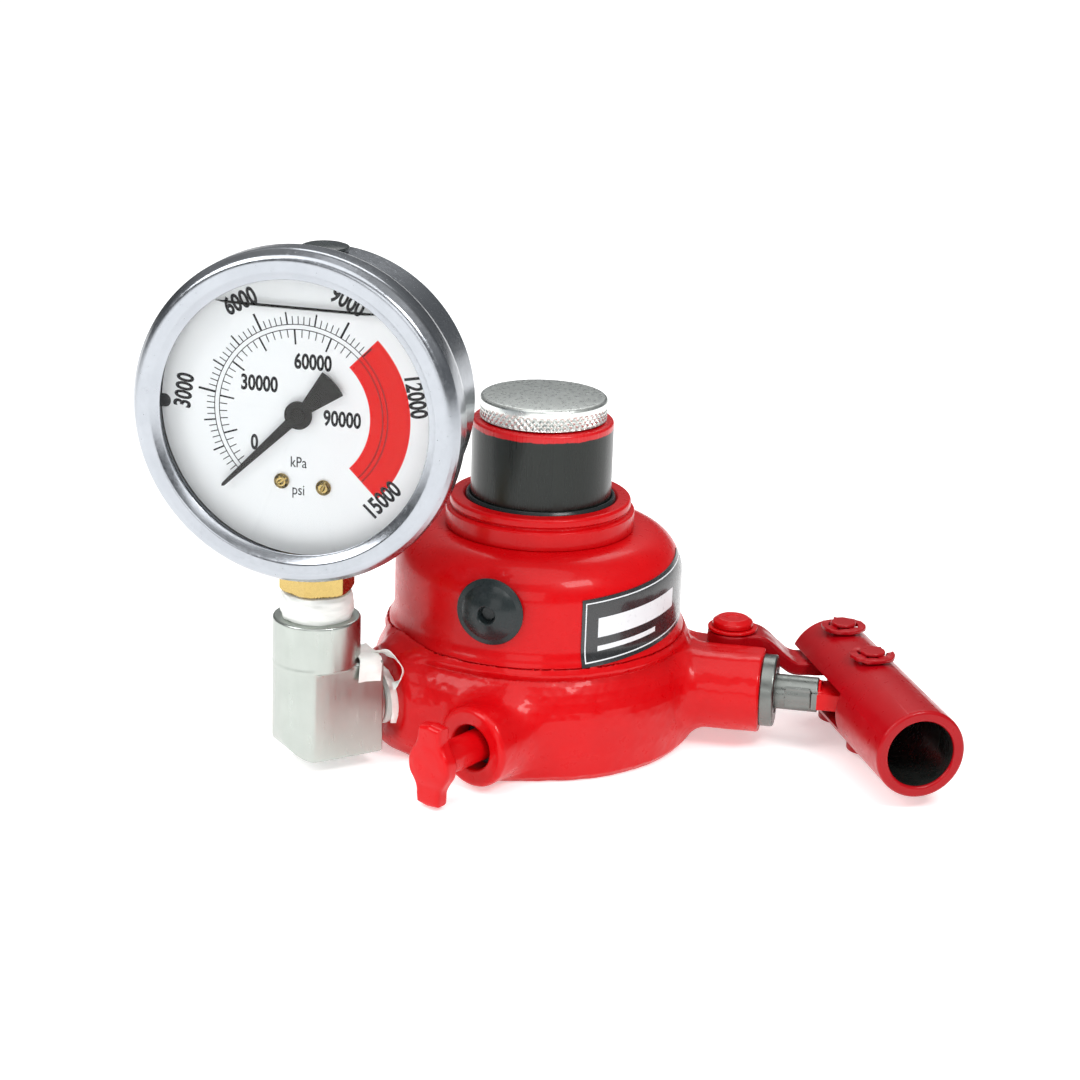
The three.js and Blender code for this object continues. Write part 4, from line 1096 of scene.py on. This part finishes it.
stem = sculpted("gauge_stem_skin", gauge_stem_field, (-15, -18, -91), (15, 15, -14), 0.5 * FINE, UPRIGHT)
wear(stem, BRASS, "gauge_stem")


# ---------------------------------------------------------------------------------------------
# Pressure gauge. X right, Y up, Z towards the reader, from the middle of the dial
# ---------------------------------------------------------------------------------------------

BEZEL_RADIUS, GAUGE_FRONT, OPENING = 56, 28, 46
DIAL_LEVEL = 17                  # of the dial's back; its face is 1 mm nearer

case = lathe("gauge_case_skin", [
    (0, -17), (30, -17), (31, -16.6), (46, -16.6, 0.5), (50, -16.6, 3.6), (50, 20.5), (48.8, 20.5),
    (48.8, -13), (46, -15.4, 2), (0, -15.4),
], GAUGE, 192)
cut(case, rod("stem_hole", 12, -60, -40, UPRIGHT), rod("fill_hole", 5.4, 40, 60, UPRIGHT @ move(0, 6, 0)))
wear(case, POLISHED, "gauge_case")
bezel = lathe("bezel_skin", [
    (50.35, 12.8), (54.2, 12.6, 0.5), (55.2, 13.6, 0.8), (55.7, 15.6, 0.8), (BEZEL_RADIUS, 17, 1),
    (BEZEL_RADIUS, 24.2, 3.6), (53.6, GAUGE_FRONT, 2.6), (48.9, 27.6, 1.5), (46.8, 26.2, 0.8),
    (OPENING, 25.9, 0.3), (OPENING, 25.3), (50.35, 25.3),
], GAUGE, 224)
wear(bezel, POLISHED, "bezel")
wear(lathe("window_gasket_skin", [(47.9, 20.7), (49.7, 20.7), (49.7, 22.4), (47.9, 22.4)], GAUGE, 128),
     RUBBER, "window_gasket")
wear(lathe("window_skin", [(0, 22.7), (49.6, 22.7), (49.6, 25.1), (0, 25.1)], GAUGE, 128),
     CLEAR, "window")
fill_plug = lathe("gauge_fill_plug_skin", [
    (0, 46), (5, 46), (5, 50.4), (8, 50.4, 0.3), (8, 51.2, 0.4), (6.6, 51.7, 0.6), (0, 51.8),
], UPRIGHT @ move(0, 6, 0), 64)
wear(fill_plug, RUBBER, "gauge_fill_plug")

dial = lathe("dial_skin", [(2.4, DIAL_LEVEL), (48.4, DIAL_LEVEL), (48.4, 18), (2.4, 18)], GAUGE, 192, 0.1)
notch = rod("notch", 2.4, 5, 25, GAUGE @ move(-47.6, 0, 0))
DIAL_SCREWS = ((-6.3, -23.4), (8.2, -24.3))
holes = [rod(f"screw_hole_{k}", 1.6, 5, 25, GAUGE @ move(x, y, 0)) for k, (x, y) in enumerate(DIAL_SCREWS)]
cut(dial, notch, *holes)
wear(dial, GLOWING_DIAL_WHITE, "dial")
for number, (x, y) in enumerate(DIAL_SCREWS, 1):
    spot = GAUGE @ move(x, y, DIAL_LEVEL) @ turn("Z", 35 * number)
    head = lathe(f"dial_screw_{number}_skin", [
        (0, -5.5), (1.2, -5.5), (1.2, 1.15), (2.6, 1.15, 0.2), (2.6, 1.9, 0.4), (1.6, 2.7, 0.6), (0, 2.8),
    ], spot, 48)
    cut(head, prism("slot", [(-3, -0.3), (3, -0.3), (3, 0.3), (-3, 0.3)], 2.2, 4, spot, 0.01, 0.01))
    wear(head, BRASS, f"dial_screw_{number}")

LIFT = 18.02                     # print lies on the dial's face
INK = 0.05
PRINT_SCALE = 1.035              # the print was laid out on a slightly smaller dial
PRINTED = GAUGE @ np.diag([PRINT_SCALE, PRINT_SCALE, 1, 1])


def band(name, radius, thickness, start, end, look, level=LIFT):
    """A printed arc between two compass angles on the dial."""
    steps = max(8, round(abs(end - start) / 2.5))
    outline = [*arc(0, 0, radius + thickness / 2, end, start, steps)[::-1],
               *arc(0, 0, radius - thickness / 2, start, end, steps)[::-1]]
    points = np.array([(*p, z) for z in (level, level + INK) for p in outline])
    count = len(outline)
    half = count // 2
    faces = []
    for k in range(half - 1):
        quad = [k, k + 1, count - 2 - k, count - 1 - k]
        faces.append([count + q for q in quad])
        faces.append(quad[::-1])
    for k in range(count):
        j = (k + 1) % count
        faces.append([k, j, count + j, count + k])
    made = make(name, points, flipped_if_inside_out(points, faces), PRINTED, sharp=30)
    wear(made, look, body="base", slot="black_print")


def ticks(name, angles, inner, outer, width):
    """Printed strokes across the scale, joined in one mesh."""
    points, faces = [], []
    for angle in angles:
        a = math.radians(angle)
        ahead, side = np.array([math.cos(a), math.sin(a)]), np.array([-math.sin(a), math.cos(a)])
        corners = [ahead * inner - side * width / 2, ahead * outer - side * width / 2,
                   ahead * outer + side * width / 2, ahead * inner + side * width / 2]
        start = len(points)
        points += [(*c, z) for z in (LIFT, LIFT + INK) for c in corners]
        faces += [[start + k for k in face] for face in (
            (3, 2, 1, 0), (4, 5, 6, 7), (0, 1, 5, 4), (1, 2, 6, 5), (2, 3, 7, 6), (3, 0, 4, 7))]
    wear(make(name, points, faces, PRINTED, sharp=30), PRINT, body="base", slot="black_print")


def number_at(name, text, x, y, size, tilt, squeeze=0.72, weight=0.03):
    """A printed number, centred at a point of the dial."""
    curve = bpy.data.curves.new(name, "FONT")
    curve.body = text
    curve.align_x, curve.align_y = "CENTER", "CENTER"
    curve.size = size
    curve.offset = weight * size
    curve.extrude = INK / 2
    curve.resolution_u = 4
    source = added(name, curve)
    mesh = evaluated(source)
    bpy.data.objects.remove(source)
    spot = PRINTED @ move(x, y, LIFT + INK / 2) @ turn("Z", tilt) @ np.diag([squeeze, 1, 1, 1])
    mesh.transform(Matrix.Scale(MM, 4) @ Matrix(spot.tolist()))
    mesh.name = name
    wear(added(name, mesh), PRINT, body="base", slot="black_print")


ZERO_ANGLE, PSI_TURN, KPA_PER_PSI = 225, 0.018, 6.894757


def psi_angle(value):
    return ZERO_ANGLE - value * PSI_TURN


def kpa_angle(value):
    return psi_angle(value / KPA_PER_PSI)


band("dial_red_zone", 29.6, 13.2, 46, -45, RED_PRINT, LIFT - 0.01)
band("dial_arc_outer", 28.8, 0.26, ZERO_ANGLE, psi_angle(15000), PRINT)
band("dial_arc_inner", 27.2, 0.26, ZERO_ANGLE, psi_angle(15000), PRINT)
ticks("dial_psi_fine", [psi_angle(v) for v in range(0, 10001, 200)], 28.8, 31.4, 0.3)
ticks("dial_psi_middle", [psi_angle(v) for v in range(0, 10001, 1000)], 28.8, 32.8, 0.5)
ticks("dial_psi_main", [psi_angle(v) for v in range(0, 10001, 3000)], 28.8, 34.6, 0.7)
ticks("dial_kpa_fine", [kpa_angle(v) for v in range(0, 66001, 2000)], 24.6, 27.2, 0.3)
ticks("dial_kpa_main", [kpa_angle(v) for v in range(0, 66001, 10000)], 22.4, 27.2, 0.55)
for text, x, y, tilt in (
    ("3000", -38.9, 3.9, 82), ("6000", -20.0, 34.4, 28), ("9000", 15.2, 37.4, -26),
    ("12000", 37.6, 9.2, -79), ("15000", 27.4, -25.8, 47),
):
    number_at(f"dial_number_{text}", text, x, y, 7.9, tilt)
for text, x, y in (
    ("30000", -13.8, 8.4), ("60000", 4.0, 16.8), ("90000", 13.8, -0.8), ("0", -15.4, -11.0),
):
    number_at(f"dial_kpa_{text}", text, x, y, 6.9, 0)
number_at("dial_unit_kpa", "kPa", -0.6, -16.2, 5.0, 0, 0.8, 0.0)
number_at("dial_unit_psi", "psi", -0.6, -25.3, 5.0, 0, 0.8, 0.0)

NEEDLE = GAUGE @ move(0, 0, DIAL_LEVEL) @ turn("Z", ZERO_ANGLE)
fan = [(17.2 * math.cos(a), 17.2 * math.sin(a)) for a in np.radians(np.linspace(163, 197, 9))]
pointer = prism("pointer_skin", [
    (36.8, -0.6), (37.6, 0), (36.8, 0.6), (4.6, 1.7), *arc(0, 0, 4.7, 25, 152, 14), *fan,
    *arc(0, 0, 4.7, 208, 335, 14), (4.6, -1.7),
], 3, 3.8, NEEDLE, 0.12, 0)
wear(pointer, POINTER, "pointer")
hub = lathe("pointer_hub_skin", [
    (0, 2.3), (2, 2.3), (2, 3.9), (2.6, 3.9, 0.2), (2.6, 4.6, 0.5), (1.2, 5.2, 0.4), (0, 5.2),
], NEEDLE, 48)
wear(hub, POINTER, body="pointer", slot="pointer_black")

# The liquid's surface, seen as a thin lens between the dial and the window
LEVEL_UP = 35.6
half_width = math.sqrt(46.2 ** 2 - LEVEL_UP ** 2)
surface = prism("gauge_liquid_surface", [
    (-half_width, 18.4, 0.1), (-half_width + 1, 18.2, 0.1), (half_width - 1, 18.2, 0.1),
    (half_width, 18.4, 0.1), (half_width - 6, 22, 3), (-half_width + 6, 22, 3),
], LEVEL_UP - 0.12, LEVEL_UP + 0.12, GAUGE @ turn("X", -90) @ np.diag([1, -1, 1, 1]), 0.08, 0.08)
wear(surface, LIQUID, body="base", slot="clear_window")


# ---------------------------------------------------------------------------------------------
# CAD nodes that stay: inside the jack and behind the dial
# ---------------------------------------------------------------------------------------------

KEPT = {
    BRASS: ("movement_back_plate", "movement_front_plate", "movement_pillar_1", "movement_pillar_2",
            "sector_gear", "outlet_plug", "inlet_filter"),
    BRONZE: ("bourdon_tube", "hairspring", "cylinder_washer", "piston_ring"),
    STEEL: ("pressure_cylinder", "piston_snap_ring", "inlet_ball", "inlet_spring", "outlet_ball",
            "outlet_spring", "release_ball", "pinion_arbor", "tip_link"),
    RUBBER: ("base_gasket", "ram_o_ring", "plunger_wiper", "release_o_ring"),
    SEAL: ("piston_seal", "plunger_seal"),
}
for look, names in KEPT.items():
    for name in names:
        nodes[name].data.materials.clear()
        nodes[name].data.materials.append(look)


# ---------------------------------------------------------------------------------------------
# Floor, light and camera
# ---------------------------------------------------------------------------------------------

FLOOR_REACH = 12000
floor = make("floor", [
    (x * FLOOR_REACH, y * FLOOR_REACH, 0) for x, y in ((-1, -1), (1, -1), (1, 1), (-1, 1))
], [[0, 1, 2, 3]])
white = Finish("floor_white").set(
    Specular_IOR_Level=0.0, Roughness=0.6, Emission_Strength=0.42, Emission_Color=(1, 1, 1, 1))
FLOOR_PALE = 0.93
white.colour(white.noise(3, 2), (FLOOR_PALE,) * 3, (FLOOR_PALE * 0.995,) * 3)
floor.data.materials.append(white.material)


def aimed(light, azimuth, elevation, distance):
    """Puts a light at a compass bearing and height round the jack, pointing at its middle."""
    obj = added(light.name, light)
    a, e = math.radians(azimuth), math.radians(elevation)
    way = Vector((math.sin(a) * math.cos(e), -math.cos(a) * math.cos(e), math.sin(e)))
    obj.location = (Vector((0, 0, 70)) + way * distance) * MM
    obj.rotation_mode = "QUATERNION"
    obj.rotation_quaternion = (-way).to_track_quat("-Z", "Y")


def softbox(name, azimuth, elevation, distance, width, height, power):
    light = bpy.data.lights.new(name, "AREA")
    light.shape = "RECTANGLE"
    light.size, light.size_y = width * MM, height * MM
    light.energy = power
    aimed(light, azimuth, elevation, distance)


sky = bpy.data.lights.new("overhead", "SUN")
sky.energy = 1.1
sky.angle = math.radians(50)
aimed(sky, -30, 72, 1500)
softbox("softbox_left", -75, 38, 1100, 500, 600, 7)
softbox("softbox_front", 25, 45, 1200, 420, 300, 6)
softbox("softbox_dial", -22, 16, 1500, 700, 600, 3)
softbox("softbox_back", 160, 50, 1200, 700, 500, 3)

# The studio round it: pale above, greyer towards the horizon, with darker corners to reflect
world = bpy.data.worlds.new("studio")
world.use_nodes = True
tree = world.node_tree
direction = tree.nodes.new("ShaderNodeTexCoord").outputs["Generated"]
split = tree.nodes.new("ShaderNodeSeparateXYZ")
tree.links.new(direction, split.inputs[0])
rise = tree.nodes.new("ShaderNodeValToRGB")
tree.links.new(split.outputs["Z"], rise.inputs[0])
stops = rise.color_ramp.elements
stops[0].position, stops[0].color = 0.02, (0.30, 0.31, 0.32, 1)
stops[1].position, stops[1].color = 0.75, (0.95, 0.95, 0.95, 1)
middle = stops.new(0.28)
middle.color = (0.20, 0.21, 0.22, 1)
patches = tree.nodes.new("ShaderNodeTexNoise")
patches.inputs["Scale"].default_value = 1.6
patches.inputs["Detail"].default_value = 0
tree.links.new(direction, patches.inputs["Vector"])
contrast = tree.nodes.new("ShaderNodeMapRange")
for key, number in (("From Min", 0.4), ("From Max", 0.6), ("To Min", 0.35), ("To Max", 0.85)):
    contrast.inputs[key].default_value = number
tree.links.new(patches.outputs["Fac"], contrast.inputs["Value"])
tree.links.new(rise.outputs["Color"], tree.nodes["Background"].inputs["Color"])
tree.links.new(contrast.outputs[0], tree.nodes["Background"].inputs["Strength"])
bpy.context.scene.world = world
bpy.context.scene.view_settings.view_transform = "Standard"

# The camera stands in front and slightly above, a little rolled, as the photographer's did
PITCH, PAN, ROLL, AZIMUTH = 0.3131, 0.0004, 0.0355, -14
STAND = np.array([0, -873, 352.2])
FOCAL = 2566.7 / 1080            # focal length over the picture's width
ahead = np.array([math.sin(PAN) * math.cos(PITCH), math.cos(PAN) * math.cos(PITCH), -math.sin(PITCH)])
level = np.array([math.cos(PAN), -math.sin(PAN), 0])
over = np.cross(level, ahead)
right = level * math.cos(ROLL) + over * math.sin(ROLL)
up = over * math.cos(ROLL) - level * math.sin(ROLL)
row = turn("Z", AZIMUTH)[:3, :3]
pose = np.eye(4)
pose[:3, 0], pose[:3, 1], pose[:3, 2] = row @ right, row @ up, -(row @ ahead)
pose[:3, 3] = row @ STAND * MM
camera = bpy.data.cameras.new("camera")
SENSOR = 36
camera.sensor_width = SENSOR
camera.lens = SENSOR * FOCAL
camera.clip_start, camera.clip_end = 0.01, 20
eye = added("camera", camera)
eye.matrix_world = Matrix(pose.tolist())
bpy.context.scene.camera = eye

bpy.context.view_layer.update()
